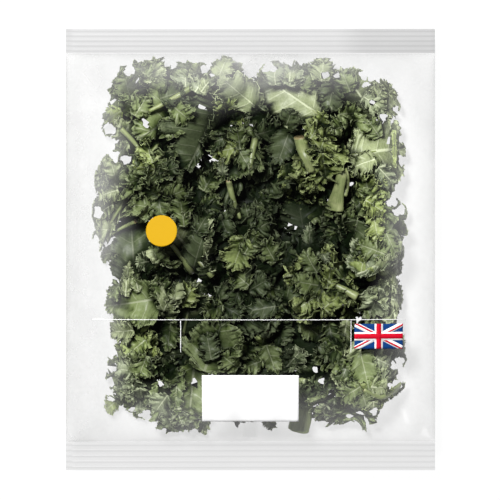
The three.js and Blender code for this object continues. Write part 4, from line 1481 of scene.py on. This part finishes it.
def loose_pieces(heap, materials, settings):
    """The small loose pieces, in one mesh for each part of the bag, and loose stalks under them."""
    stalks = LeafMesh()
    for knots, base, tip, raised in LOOSE_STALKS:
        line, _ = smooth_line(knots, 22)
        radii = np.linspace(base, tip, len(line))
        top = heap.sample(heap.top, line[:, 0], line[:, 1])
        z = np.minimum(top + raised, front_height(line[:, 0], line[:, 1]) - 1.2 - radii)
        stalks.add_stem(np.concatenate([line, z[:, None]], 1), radii, 16)
    keep(stalks.build("loose_stalks", materials), "stalk")
    for x, y, reach, lift in MOUNDS:
        heap.settle(x, y, reach, lift)
    groups = {}
    thickness, waves = leaf_sizes(settings)
    for seed, row in enumerate(LOOSE):
        rng = np.random.default_rng(LOOSE_SEED + seed)
        patch = Patch(row, heap, rng)
        half = 0.5 * row.width * (LOOSE_BLADE if row.form == "blade" else LOOSE_FRILL)
        sides = half * rng.uniform(0.85, 1.1, 6), half * rng.uniform(0.85, 1.1, 6)
        columns = SHORT_COLUMNS if row.length < SHORT_PIECE else LONG_COLUMNS
        sheet = Sheet(*sides, row.length, columns, SMALL_ROWS)
        shape = ruffled(sheet, FORMS[row.form], row.frill, rng, waves, patch.world)
        heap.confine("", shape[2])
        down = "top" if row.y > TOP_PART else "bottom" if row.y < BOTTOM_PART else "middle"
        across = "left" if row.x < 0 else "right"
        group = groups.setdefault(f"loose_pieces_{down}_{across}", LeafMesh())
        group.add_sheet(sheet, shape, row.finish, thickness, 0.5, 0.2, rng.uniform())
        if row.raised:
            heap.settle(row.x, row.y, 0.4 * row.length, SETTLED)
    for name, group in groups.items():
        keep(group.build(name, materials), "green_leaf")


def blurred(field, reach):
    """A field smoothed twice over a reach of cells each way."""
    for axis in (0, 1):
        for _ in range(2):
            field = sum(np.roll(field, k, axis) for k in range(-reach, reach + 1)) / (2 * reach + 1)
    return field


# Half the width and half the length of the heap, in millimetres, where its kale is thin.
THIN_HALF_WIDTH = 112
THIN_HALF_LENGTH = 140


def paint_shade_and_highlights(pieces):
    """Marks painted shade by how deep each point of the kale lies below the heap's surface round it,
    painted highlights on the crests of its curls, painted light where the heap is thin and more painted
    shade towards its middle."""
    cell = 1.0
    width, height = int(2 * HALF_WIDTH / cell) + 2, int(2 * GRID_HALF_LENGTH / cell) + 2
    top = np.full((width, height), -1.0)
    spots = []
    for piece in pieces:
        points = np.empty(len(piece.data.vertices) * 3)
        piece.data.vertices.foreach_get("co", points)
        points = points.reshape(-1, 3) / MM
        i = np.clip(((points[:, 0] + HALF_WIDTH) / cell).astype(int), 0, width - 1)
        j = np.clip(((points[:, 1] + GRID_HALF_LENGTH) / cell).astype(int), 0, height - 1)
        np.maximum.at(top, (i, j), points[:, 2])
        spots.append((i, j, points[:, 2]))
    laid = (top > 0).astype(float)
    level = np.where(top > 0, top, 0)
    broad, near = blurred(laid, 5), blurred(laid, 1)
    wide = blurred(laid, 9)
    broad_level = blurred(level, 5) / np.maximum(broad, 0.05)
    near_level = blurred(level, 1) / np.maximum(near, 0.05)
    for piece, (i, j, z) in zip(pieces, spots):
        # Painted shade grows with the depth below the heap round it, broadly and closely; points above it
        # get painted highlights.
        deep = ramp((broad_level[i, j] - z + 1.0) / 4.8, 0, 1) * ramp(broad[i, j], 0.55, 0.9)
        small = ramp((near_level[i, j] - z + 0.4) / 1.6, 0, 1) * ramp(near[i, j], 0.5, 0.9)
        crest_highlight = ramp((z - near_level[i, j]) / 1.6 + 0.35, 0, 1) * ramp(z - broad_level[i, j], -2.5, 1.0)
        attributes = piece.data.attributes
        x = (i * cell - HALF_WIDTH) / THIN_HALF_WIDTH
        y = (j * cell - GRID_HALF_LENGTH - HEAP_MIDDLE) / THIN_HALF_LENGTH
        outward = (np.abs(x) ** 3 + np.abs(y) ** 3) ** (1 / 3)
        # Painted light where the heap is thin, by its gaps and towards its outline; it also weakens the
        # painted shade.
        thin = np.maximum(1 - ramp(wide[i, j], 0.68, 0.99), 0.75 * ramp(outward, 0.7, 1.0))
        hollow_shade = (1 - (1 - deep) * (1 - 0.85 * small)) * (1 - 0.35 * thin)
        # More painted shade towards the middle of the heap.
        hollow_shade = 1 - (1 - hollow_shade) * (1 - 0.42 * (1 - ramp(outward, 0.5, 0.8)))
        attributes["thin"].data.foreach_set("value", thin.astype(np.float32))
        attributes["hollow_shade"].data.foreach_set("value", hollow_shade.astype(np.float32))
        attributes["crest_highlight"].data.foreach_set("value", crest_highlight.astype(np.float32))


def stalk_piece(node, materials):
    """A cut length of stalk, grooved along its upper side."""
    lay = Lay(node, PIECES[node].heading)
    rings, around = 40, 28
    s = np.linspace(0, 1, rings)
    left = np.interp(s, np.linspace(0, 1, 6), lay.left_side)
    right = np.interp(s, np.linspace(0, 1, 6), lay.right_side)
    angle = np.linspace(0, 2 * np.pi, around, endpoint=False)
    points, uv = [], []
    for share, l, r in zip(s, left, right):
        end = min(share, 1 - share) * lay.length
        rounded = math.sqrt(1 - (1 - min(1.0, (end + 0.5) / 2.5)) ** 2)
        uneven = 1 + 0.05 * math.sin(9 * share + l)
        half = (l + r) / 2 * 0.96 * rounded * (1 - PIECES[node].frill * share) * uneven
        groove = 1 - 0.16 * np.exp(-(((angle - np.pi / 2) / 0.5) ** 2))
        shape = groove + 0.03 * np.sin(7 * angle + 3 * share)
        v = (l - r) / 2 + half * np.cos(angle) * shape
        u = np.full(around, (share - 0.5) * lay.length)
        ring = lay.world(u, v)
        ring[:, 2] += min(half, 3.4) * np.sin(angle) * shape
        points.append(ring)
        uv.append(np.stack([u, angle * 3], -1))
    points = np.array(points)
    quads, number, _ = tube_quads(rings, around)
    faces = quads.tolist()
    flat, ends = points.reshape(-1, 3), []
    for ring, inward in ((0, 1), (rings - 1, -1)):
        centre = points[ring].mean(0)
        inner = centre + (points[ring] - centre) * 0.72
        inner[:, :2] += lay.along * 0.35 * inward
        start = len(flat) + sum(len(e) for e in ends)
        ends.append(np.concatenate([inner, [centre + np.append(lay.along * 0.5 * inward, 0)]]))
        for j in range(around):
            k = (j + 1) % around
            a, b = int(number[ring, j]), int(number[ring, k])
            faces.append((b, a, start + j, start + k)[::inward])
            faces.append((start + k, start + j, start + around)[::inward])
    uv = np.concatenate([np.concatenate(uv)] + [e[:, :2] for e in ends])
    cut = np.concatenate([np.zeros(len(flat)), np.ones(sum(len(e) for e in ends))])
    flat = np.concatenate([flat] + ends)
    layers = {"cut": cut, "hollow_shade": cut * 0, "crest_highlight": cut * 0, "thin": cut * 0}
    finish = materials[PIECES[node].finish]
    made = mesh_object(f"{node}_cut", flat, faces, [finish], layers=layers, uv=uv)
    whole = bmesh.new()
    whole.from_mesh(made.data)
    bmesh.ops.recalc_face_normals(whole, faces=whole.faces)
    whole.to_mesh(made.data)
    whole.free()
    return keep(made, "stalk", node)


# ---------------------------------------------------------------------- film


def wrinkles(x, y):
    """Puckers that run from the seals into the film, in millimetres."""
    to_top = SLEEVE_TOP - y
    to_bottom = y - SLEEVE_BOTTOM
    reach = np.exp(-((to_top / 26) ** 1.3)) + np.exp(-((to_bottom / 26) ** 1.3))
    away = ramp(np.minimum(to_top, to_bottom), 0, 9) * ramp(HALF_WIDTH - np.abs(x), 0, 14)
    waves = np.sin(x / 5.1 + 1.4 * np.sin(x / 17)) + 0.7 * np.sin(x / 2.9 + 2.0 + 1.1 * np.sin(x / 11))
    broad = np.sin(x / 13 + y / 31) * np.sin(y / 17 - x / 40)
    side = np.exp(-(((HALF_WIDTH - np.abs(x)) / 17) ** 1.5)) * np.sin(y / 6.5 + 1.5 * np.sin(y / 21))
    return away * (0.75 * reach * waves + 0.5 * broad + 0.5 * side)


def puckered(x, y):
    """How far the film stands out from its plain form, in millimetres."""
    return wrinkles(x, y) - 0.6 * ramp(fullness(x, y), 0, 0.4)


def pillow_side(height, sign, xs, ys):
    """The front film where sign is 1, or the back where it is -1, as a grid of points."""
    x, y = np.meshgrid(xs, ys, indexing="ij")
    z = height(x, y)
    flat = ramp(z, 0.0, 2.5) if sign < 0 else 1.0
    return np.stack([x, y, z + sign * puckered(x, y) * flat], -1)


# ----------------------------------------------------------------- operators


# Of each leaf finish: its veins' share of the vein colour, how much lighter its margin is painted, as
# a painted highlight, and how much its veins show.
LEAF_FINISHES = {
    # The deep and dark finishes are darker copies of the green leaf: painted shade.
    "deep": (0.15, 1.5, 0.5),
    "dark": (0.4, 1.7, 0.5),
    "green": (0.6, 1.7, 0.6),
    "bright": (0.8, 1.4, 0.6),
    "pale": (1.0, 1.0, 0.9),
    "grey": (0.9, 1.0, 0.9),
}
# Of each other stalk finish: its colour, its cut ends' colour and how dark its hollows are painted, as
# painted shade.
STALK_FINISHES = {
    "wide": ((0.32, 0.38, 0.17), (0.4, 0.44, 0.24), 0.3),
    "cut": ((0.42, 0.33, 0.15), (0.5, 0.45, 0.22), 0.8),
}


def kale_materials(kale):
    """The kale's finishes, made once."""
    if "kale_dark" in bpy.data.materials:
        keys = (*LEAF_FINISHES, "stalk", *STALK_FINISHES)
        return {key: bpy.data.materials[f"kale_{key}"] for key in keys}
    made = {}
    for key, (share, margin_highlight, vein_share) in LEAF_FINISHES.items():
        blade, vein = tuple(getattr(kale, key)), tuple(share * v for v in kale.vein)
        made[key] = leaf_finish(f"kale_{key}", blade, vein, margin_highlight, vein_share)
    made["stalk"] = stalk_finish("kale_stalk", tuple(kale.stalk), (0.5, 0.52, 0.26), 0.8)
    for key, (colour, cut, shaded) in STALK_FINISHES.items():
        made[key] = stalk_finish(f"kale_{key}", colour, cut, shaded)
    return made


class KALEBAG_OT_leaves(Operator):
    """Lays the curly pieces of leaf that have a solid each"""

    bl_idname = "kalebag.leaves"
    bl_label = "Kale leaves"

    def execute(self, context):
        settings = context.scene.kale_bag_kale
        materials = kale_materials(settings)
        heap = HeapMap()
        for seed, (node, look) in enumerate(PIECES.items()):
            if look.form != "stalk":
                leaf_piece(node, heap, materials, settings, seed)
        return {"FINISHED"}


class KALEBAG_OT_loose(Operator):
    """Lays the small loose pieces and stalks on the heap and under it"""

    bl_idname = "kalebag.loose"
    bl_label = "Loose pieces"

    def execute(self, context):
        settings = context.scene.kale_bag_kale
        loose_pieces(HeapMap(), kale_materials(settings), settings)
        return {"FINISHED"}


class KALEBAG_OT_stalks(Operator):
    """Lays the cut lengths of stalk"""

    bl_idname = "kalebag.stalks"
    bl_label = "Kale stalks"

    def execute(self, context):
        materials = kale_materials(context.scene.kale_bag_kale)
        for node, look in PIECES.items():
            if look.form == "stalk":
                stalk_piece(node, materials)
        return {"FINISHED"}


class KALEBAG_OT_hollows(Operator):
    """Darkens the kale in the hollows between its curls with painted shade, and paints highlights on its
    crests and light where the heap is thin
    """

    bl_idname = "kalebag.hollows"
    bl_label = "Dark hollows"

    def execute(self, context):
        pieces = [piece for piece in context.scene.objects if piece.type == "MESH"]
        paint_shade_and_highlights([piece for piece in pieces if "hollow_shade" in piece.data.attributes])
        return {"FINISHED"}


class KALEBAG_OT_sleeve(Operator):
    """Makes the clear sleeve of film"""

    bl_idname = "kalebag.sleeve"
    bl_label = "Film sleeve"

    def execute(self, context):
        settings = context.scene.kale_bag_film
        nx, ny = 91, 99
        xs = HALF_WIDTH * np.sin(np.linspace(-np.pi / 2, np.pi / 2, nx))
        ys = SLEEVE_MIDDLE + SLEEVE_HALF * np.sin(np.linspace(-np.pi / 2, np.pi / 2, ny))
        front = pillow_side(front_height, 1, xs, ys)
        back = pillow_side(back_height, -1, xs, ys)
        points = np.concatenate([back.reshape(-1, 3), front.reshape(-1, 3)])
        film = film_finish("clear_film", settings)
        made = mesh_object("clear_sleeve", points, wall_faces(nx, ny), [film])
        keep(made, "film", "film_sleeve")
        return {"FINISHED"}


def crimp_tree():
    """A node tree that grows a flat seal, whose crimp lines repeat across its width."""
    tree = bpy.data.node_groups.new("Crimped seal", "GeometryNodeTree")
    face = tree.interface
    for label in ("Length", "Width", "Thickness", "Crimp Height", "Centre Y", "Centre Z"):
        face.new_socket(label, in_out="INPUT", socket_type="NodeSocketFloat")
    face.new_socket("Lines", in_out="INPUT", socket_type="NodeSocketInt")
    face.new_socket("Material", in_out="INPUT", socket_type="NodeSocketMaterial")
    face.new_socket("Geometry", in_out="OUTPUT", socket_type="NodeSocketGeometry")
    join = tree.links.new

    def add(kind, **settings):
        node = tree.nodes.new(kind)
        for key, value in settings.items():
            setattr(node, key, value)
        return node

    def maths(operation, first, second):
        node = add("ShaderNodeMath", operation=operation)
        for socket, value in zip(node.inputs, (first, second)):
            if isinstance(value, (int, float)):
                socket.default_value = value
            else:
                join(value, socket)
        return node.outputs[0]

    inputs = add("NodeGroupInput").outputs
    rows = maths("ADD", maths("MULTIPLY", inputs["Lines"], 16), 1)
    grid = add("GeometryNodeMeshGrid")
    join(inputs["Length"], grid.inputs["Size X"])
    join(inputs["Width"], grid.inputs["Size Y"])
    grid.inputs["Vertices X"].default_value = 48
    join(rows, grid.inputs["Vertices Y"])
    place = add("ShaderNodeSeparateXYZ")
    join(add("GeometryNodeInputPosition").outputs[0], place.inputs[0])
    share = maths("DIVIDE", place.outputs["Y"], inputs["Width"])
    turn = maths("MULTIPLY", maths("MULTIPLY", share, inputs["Lines"]), 2 * math.pi)
    wave = maths("POWER", maths("MULTIPLY", maths("ADD", maths("COSINE", turn, 0), 1), 0.5), 3)
    height = maths("MULTIPLY", wave, inputs["Crimp Height"])
    offset = add("ShaderNodeCombineXYZ")
    join(inputs["Centre Y"], offset.inputs["Y"])
    join(maths("ADD", height, inputs["Centre Z"]), offset.inputs["Z"])
    store = add("GeometryNodeStoreNamedAttribute", data_type="FLOAT", domain="POINT")
    store.inputs["Name"].default_value = "crimp"
    join(grid.outputs["Mesh"], store.inputs["Geometry"])
    join(wave, store.inputs["Value"])
    move = add("GeometryNodeSetPosition")
    join(store.outputs[0], move.inputs["Geometry"])
    join(offset.outputs[0], move.inputs["Offset"])
    extrude = add("GeometryNodeExtrudeMesh", mode="FACES")
    join(move.outputs[0], extrude.inputs["Mesh"])
    direction = add("ShaderNodeCombineXYZ")
    direction.inputs["Z"].default_value = 1.0
    join(direction.outputs[0], extrude.inputs["Offset"])
    join(inputs["Thickness"], extrude.inputs["Offset Scale"])
    extrude.inputs["Individual"].default_value = False
    flip = add("GeometryNodeFlipFaces")
    join(move.outputs[0], flip.inputs[0])
    both = add("GeometryNodeJoinGeometry")
    join(extrude.outputs["Mesh"], both.inputs[0])
    join(flip.outputs[0], both.inputs[0])
    merge = add("GeometryNodeMergeByDistance")
    join(both.outputs[0], merge.inputs["Geometry"])
    merge.inputs["Distance"].default_value = MM / 1000
    real = add("GeometryNodeRealizeInstances")
    join(merge.outputs[0], real.inputs[0])
    paint = add("GeometryNodeSetMaterial")
    join(real.outputs[0], paint.inputs["Geometry"])
    join(inputs["Material"], paint.inputs["Material"])
    join(paint.outputs[0], add("NodeGroupOutput").inputs[0])
    return tree


def grown(name, tree, values):
    """A plain mesh object from a node tree and the values of its named inputs."""
    seed = bpy.data.objects.new(name, bpy.data.meshes.new(f"{name}_seed"))
    bpy.context.scene.collection.objects.link(seed)
    modifier = seed.modifiers.new("grown", "NODES")
    modifier.node_group = tree
    for item in tree.interface.items_tree:
        if item.item_type == "SOCKET" and item.in_out == "INPUT" and item.name in values:
            modifier[item.identifier] = values[item.name]
    evaluated = seed.evaluated_get(bpy.context.evaluated_depsgraph_get())
    mesh = bpy.data.meshes.new_from_object(evaluated)
    seed.modifiers.clear()
    seed.data = mesh
    mesh.polygons.foreach_set("use_smooth", np.ones(len(mesh.polygons), bool))
    return seed


SEAL_CLEARANCE = 0.0001  # metres, from the solid's underside to the seal's


class KALEBAG_OT_seals(Operator):
    """Makes the crimped seals across both ends"""

    bl_idname = "kalebag.seals"
    bl_label = "End seals"

    def execute(self, context):
        settings = context.scene.kale_bag_film
        material = seal_finish("crimped_film")
        tree = crimp_tree()
        for node in ("top_seal", "bottom_seal"):
            low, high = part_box(node)
            values = {
                "Length": high.x - low.x,
                "Width": high.y - low.y,
                "Thickness": settings.seal_thickness,
                "Crimp Height": settings.crimp_height,
                "Lines": settings.crimp_lines,
                "Centre Y": (low.y + high.y) / 2,
                "Centre Z": low.z + SEAL_CLEARANCE,
                "Material": material,
            }
            keep(grown(f"{node}_crimped", tree, values), "film", node)
        return {"FINISHED"}


class KALEBAG_OT_back_seam(Operator):
    """Makes the lapped seam down the back"""

    bl_idname = "kalebag.back_seam"
    bl_label = "Back seam"

    def execute(self, context):
        settings = context.scene.kale_bag_film
        low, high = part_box("back_seam")
        ys = np.linspace(low.y / MM + 0.05, high.y / MM - 0.05, 180)
        xs = np.linspace(low.x / MM, high.x / MM, 12)
        x, y = np.meshgrid(xs, ys, indexing="ij")
        z = back_height(x * 0, y) + 0.04
        lap = 0.12 * (np.abs(x) < 3.5) + 0.03 * np.sin(y / 3.1)
        lower = np.stack([x, y, z + 0.03 * ramp(z, 0.1, 1)], -1).reshape(-1, 3)
        upper = np.stack([x, y, z + 0.2 + lap], -1).reshape(-1, 3)
        crimp = np.tile((np.abs(x) < 3.6).astype(float).ravel() * 0.6, 2)
        made = mesh_object(
            "back_seam_lap",
            np.concatenate([lower, upper]),
            wall_faces(len(xs), len(ys)),
            [lap_finish("lapped_film", settings)],
            layers={"crimp": crimp},
        )
        keep(made, "film", "back_seam")
        return {"FINISHED"}


# Millimetres between the film and what is printed on it, and how thick the print is.
PRINT_LIFT = 0.15
PANEL_LIFT = 0.25
PRINT_THICKNESS = 0.08
# The same for the flag's layers, the lowest first.
FIELD_LIFT = 0.12
WHITE_STRIP_LIFT = 0.22
RED_STRIP_LIFT = 0.29
WHITE_BAR_LIFT = 0.32
RED_BAR_LIFT = 0.42


def on_film(plan, lift):
    """A closed thin patch that lies on the front film, from a grid of plan points."""
    x, y = plan[..., 0], plan[..., 1]
    z = front_height(x, y) + puckered(x, y) + lift
    lower = np.stack([x, y, z], -1)
    upper = np.stack([x, y, z + PRINT_THICKNESS], -1)
    return np.concatenate([lower.reshape(-1, 3), upper.reshape(-1, 3)]), wall_faces(*x.shape)


def bar(x0, y0, x1, y1, step=1.5):
    """Plan grid over a rectangle."""
    nx = max(2, int(abs(x1 - x0) / step) + 1)
    ny = max(2, int(abs(y1 - y0) / step) + 1)
    x, y = np.meshgrid(np.linspace(x0, x1, nx), np.linspace(y0, y1, ny), indexing="ij")
    return np.stack([x, y], -1)


class Marks:
    """Gathers printed marks of one colour into a mesh."""

    def __init__(self):
        self.points, self.faces, self.count = [], [], 0

    def add(self, plan, lift=PRINT_LIFT):
        points, faces = on_film(plan, lift)
        self.faces += [tuple(i + self.count for i in face) for face in faces]
        self.points.append(points)
        self.count += len(points)
        return self

    def build(self, name, material, slot):
        made = mesh_object(name, np.concatenate(self.points), self.faces, [material])
        return keep(made, slot)


def px(x, y, z=45.0):
    """Plan place in millimetres of a point that is z up, given in steps from the view's left and
    top."""
    step = VIEW_STEP * (CAMERA_HEIGHT - z) / (CAMERA_HEIGHT - SEAL_HEIGHT)
    middle = VIEW_STEPS / 2
    return (x - middle) * step - VIEW_SHIFT, (middle - y) * step - VIEW_SHIFT


# Places of the printed marks, in steps from the view's left and top: first left and top, then
# right and bottom.
PANEL = (202, 374.8), (298.7, 422)
RULE = (92, 319.1), (406, 319.7)
DIVIDERS = ((180.7, 320.2), (181.3, 352)), ((350.3, 320.2), (350.9, 352))
FLAG = (354, 323.6), (403, 348.5)
BADGE = (162, 231)
BADGE_RADIUS = 10.4  # millimetres


def printed(place):
    """Plan grid of a printed rectangle."""
    (left, top), (right, bottom) = place
    return bar(*px(left, bottom), *px(right, top))


class KALEBAG_OT_print(Operator):
    """Prints the plain white panel, the rules, the flag and the round badge"""

    bl_idname = "kalebag.print_marks"
    bl_label = "Print"

    def execute(self, context):
        settings = context.scene.kale_bag_print
        white = ink_finish("white_ink", settings.white)
        Marks().add(printed(PANEL), PANEL_LIFT).build("white_panel", white, "print_white")
        rules = Marks()
        for place in (RULE, *DIVIDERS):
            rules.add(printed(place))
        rules.build("white_rules", white, "print_white")
        badge = Marks()
        p, q = np.moveaxis(bar(-1, -1, 1, 1, 0.08), -1, 0)
        p, q = p * np.sqrt(1 - q * q / 2), q * np.sqrt(1 - p * p / 2)
        badge.add(np.array(px(*BADGE)) + BADGE_RADIUS * np.stack([p, q], -1))
        badge.build("round_badge", ink_finish("badge_ink", settings.badge), "badge_yellow")
        self.flag(settings, white)
        return {"FINISHED"}

    @staticmethod
    def flag(settings, white):
        (left, top), (right, bottom) = FLAG
        x0, y0 = px(left, bottom)
        x1, y1 = px(right, top)
        width, height = x1 - x0, y1 - y0
        cx, cy = (x0 + x1) / 2, (y0 + y1) / 2
        Marks().add(bar(x0, y0, x1, y1), FIELD_LIFT).build(
            "flag_field", ink_finish("flag_blue_ink", settings.flag_blue), "flag_blue"
        )
        saltire, cross = Marks(), Marks()

        def strip(a, b, half, shift=0.0):
            a, b = np.array(a), np.array(b)
            way = (b - a) / np.linalg.norm(b - a)
            side = np.array([-way[1], way[0]])
            t, s = np.meshgrid(np.linspace(0, 1, 26), np.array([-half, half]) + shift, indexing="ij")
            grid = a + t[..., None] * (b - a) + s[..., None] * side
            grid[..., 0] = np.clip(grid[..., 0], x0, x1)
            grid[..., 1] = np.clip(grid[..., 1], y0, y1)
            return grid

        corners = [(x0, y0), (x0, y1), (x1, y1), (x1, y0)]
        unit = height / 30
        for corner in corners:
            saltire.add(strip((cx, cy), corner, 3 * unit), WHITE_STRIP_LIFT)
        saltire.add(bar(cx - 5 * unit, y0, cx + 5 * unit, y1), WHITE_BAR_LIFT)
        saltire.add(bar(x0, cy - 5 * unit, x1, cy + 5 * unit), WHITE_BAR_LIFT)
        saltire.build("flag_white", white, "print_white")
        for corner in corners:
            cross.add(strip((cx, cy), corner, unit, -unit), RED_STRIP_LIFT)
        cross.add(bar(cx - 3 * unit, y0, cx + 3 * unit, y1), RED_BAR_LIFT)
        cross.add(bar(x0, cy - 3 * unit, x1, cy + 3 * unit), RED_BAR_LIFT)
        cross.build("flag_red", ink_finish("flag_red_ink", settings.flag_red), "flag_red")


def pale_sky(settings):
    """A sky that lights the bag faintly and stands behind it as a pale backdrop."""
    world = bpy.data.worlds.new("soft_sky")
    world.use_nodes = True
    nodes, links = world.node_tree.nodes, world.node_tree.links
    seen = nodes.new("ShaderNodeLightPath").outputs["Is Camera Ray"]
    strength = nodes.new("ShaderNodeMapRange")
    strength.inputs["To Min"].default_value = settings.sky_strength
    strength.inputs["To Max"].default_value = settings.backdrop
    links.new(seen, strength.inputs["Value"])
    background = nodes["Background"]
    background.inputs["Color"].default_value = (1, 1, 1, 1)
    links.new(strength.outputs["Result"], background.inputs["Strength"])
    return world


# In metres: each light's place and size, then the floor.
KEY_PLACE, KEY_SIZE = (-0.4, 0.6, 1.5), 0.4
FILL_PLACE, FILL_SIZE = (0.5, -0.3, 1.5), 1.0
FLOOR_SIZE = 8.0
FLOOR_DROP = 0.0004  # keeps the floor clear of the bag's underside
SENSOR_WIDTH = 36.0


class KALEBAG_OT_stage(Operator):
    """Sets the floor, the lights and the camera"""

    bl_idname = "kalebag.stage"
    bl_label = "Stage"

    def execute(self, context):
        scene = context.scene
        settings = scene.kale_bag_stage
        bpy.ops.mesh.primitive_plane_add(size=FLOOR_SIZE, location=(0, 0, -FLOOR_DROP))
        floor = context.object
        floor.name = "pale_floor"
        floor.data.materials.append(floor_finish())
        scene.world = pale_sky(settings)
        self.light("key", KEY_PLACE, KEY_SIZE, settings.key_power)
        self.light("fill", FILL_PLACE, FILL_SIZE, settings.fill_power)
        scene.view_settings.view_transform = "Standard"
        scene.view_settings.look = "None"
        camera = bpy.data.cameras.new("overhead")
        camera.sensor_width = SENSOR_WIDTH
        camera.lens = SENSOR_WIDTH * (settings.camera_height - SEAL_HEIGHT * MM) / settings.view_width
        camera.clip_end = 20.0
        holder = bpy.data.objects.new("overhead", camera)
        shift = -VIEW_SHIFT * MM
        holder.location = (shift, shift, settings.camera_height)
        scene.collection.objects.link(holder)
        scene.camera = holder
        return {"FINISHED"}

    @staticmethod
    def light(name, place, size, power):
        data = bpy.data.lights.new(name, "AREA")
        data.shape = "DISK"
        data.size = size
        data.energy = power
        holder = bpy.data.objects.new(name, data)
        holder.location = place
        holder.rotation_euler = (Vector((0, 0, 0.02)) - Vector(place)).to_track_quat("-Z", "Y").to_euler()
        bpy.context.scene.collection.objects.link(holder)


class KALEBAG_PT_panel(Panel):
    """Lists the steps that build the bag"""

    bl_idname = "KALEBAG_PT_panel"
    bl_label = "Kale Bag"
    bl_space_type = "VIEW_3D"
    bl_region_type = "UI"
    bl_category = "Kale Bag"

    def draw(self, context):
        for operator in OPERATORS:
            self.layout.operator(operator.bl_idname)
        for name in PROPERTIES:
            settings = getattr(context.scene, name)
            box = self.layout.box()
            for key in settings.__annotations__:
                box.prop(settings, key)


OPERATORS = (
    KALEBAG_OT_stage,
    KALEBAG_OT_leaves,
    KALEBAG_OT_loose,
    KALEBAG_OT_stalks,
    KALEBAG_OT_hollows,
    KALEBAG_OT_sleeve,
    KALEBAG_OT_seals,
    KALEBAG_OT_back_seam,
    KALEBAG_OT_print,
)
PROPERTIES = {
    "kale_bag_kale": KaleProperties,
    "kale_bag_film": FilmProperties,
    "kale_bag_print": PrintProperties,
    "kale_bag_stage": StageProperties,
}
CLASSES = (*PROPERTIES.values(), *OPERATORS, KALEBAG_PT_panel)


def register():
    for cls in CLASSES:
        bpy.utils.register_class(cls)
    for name, cls in PROPERTIES.items():
        setattr(bpy.types.Scene, name, PointerProperty(type=cls))


def unregister():
    for name in PROPERTIES:
        delattr(bpy.types.Scene, name)
    for cls in reversed(CLASSES):
        bpy.utils.unregister_class(cls)


def main():
    register()
    bpy.ops.kalebag.stage()
    bpy.ops.kalebag.leaves()
    bpy.ops.kalebag.loose()
    bpy.ops.kalebag.stalks()
    bpy.ops.kalebag.hollows()
    bpy.ops.kalebag.sleeve()
    bpy.ops.kalebag.seals()
    bpy.ops.kalebag.back_seam()
    bpy.ops.kalebag.print_marks()


if __name__ == "__main__":
    main()
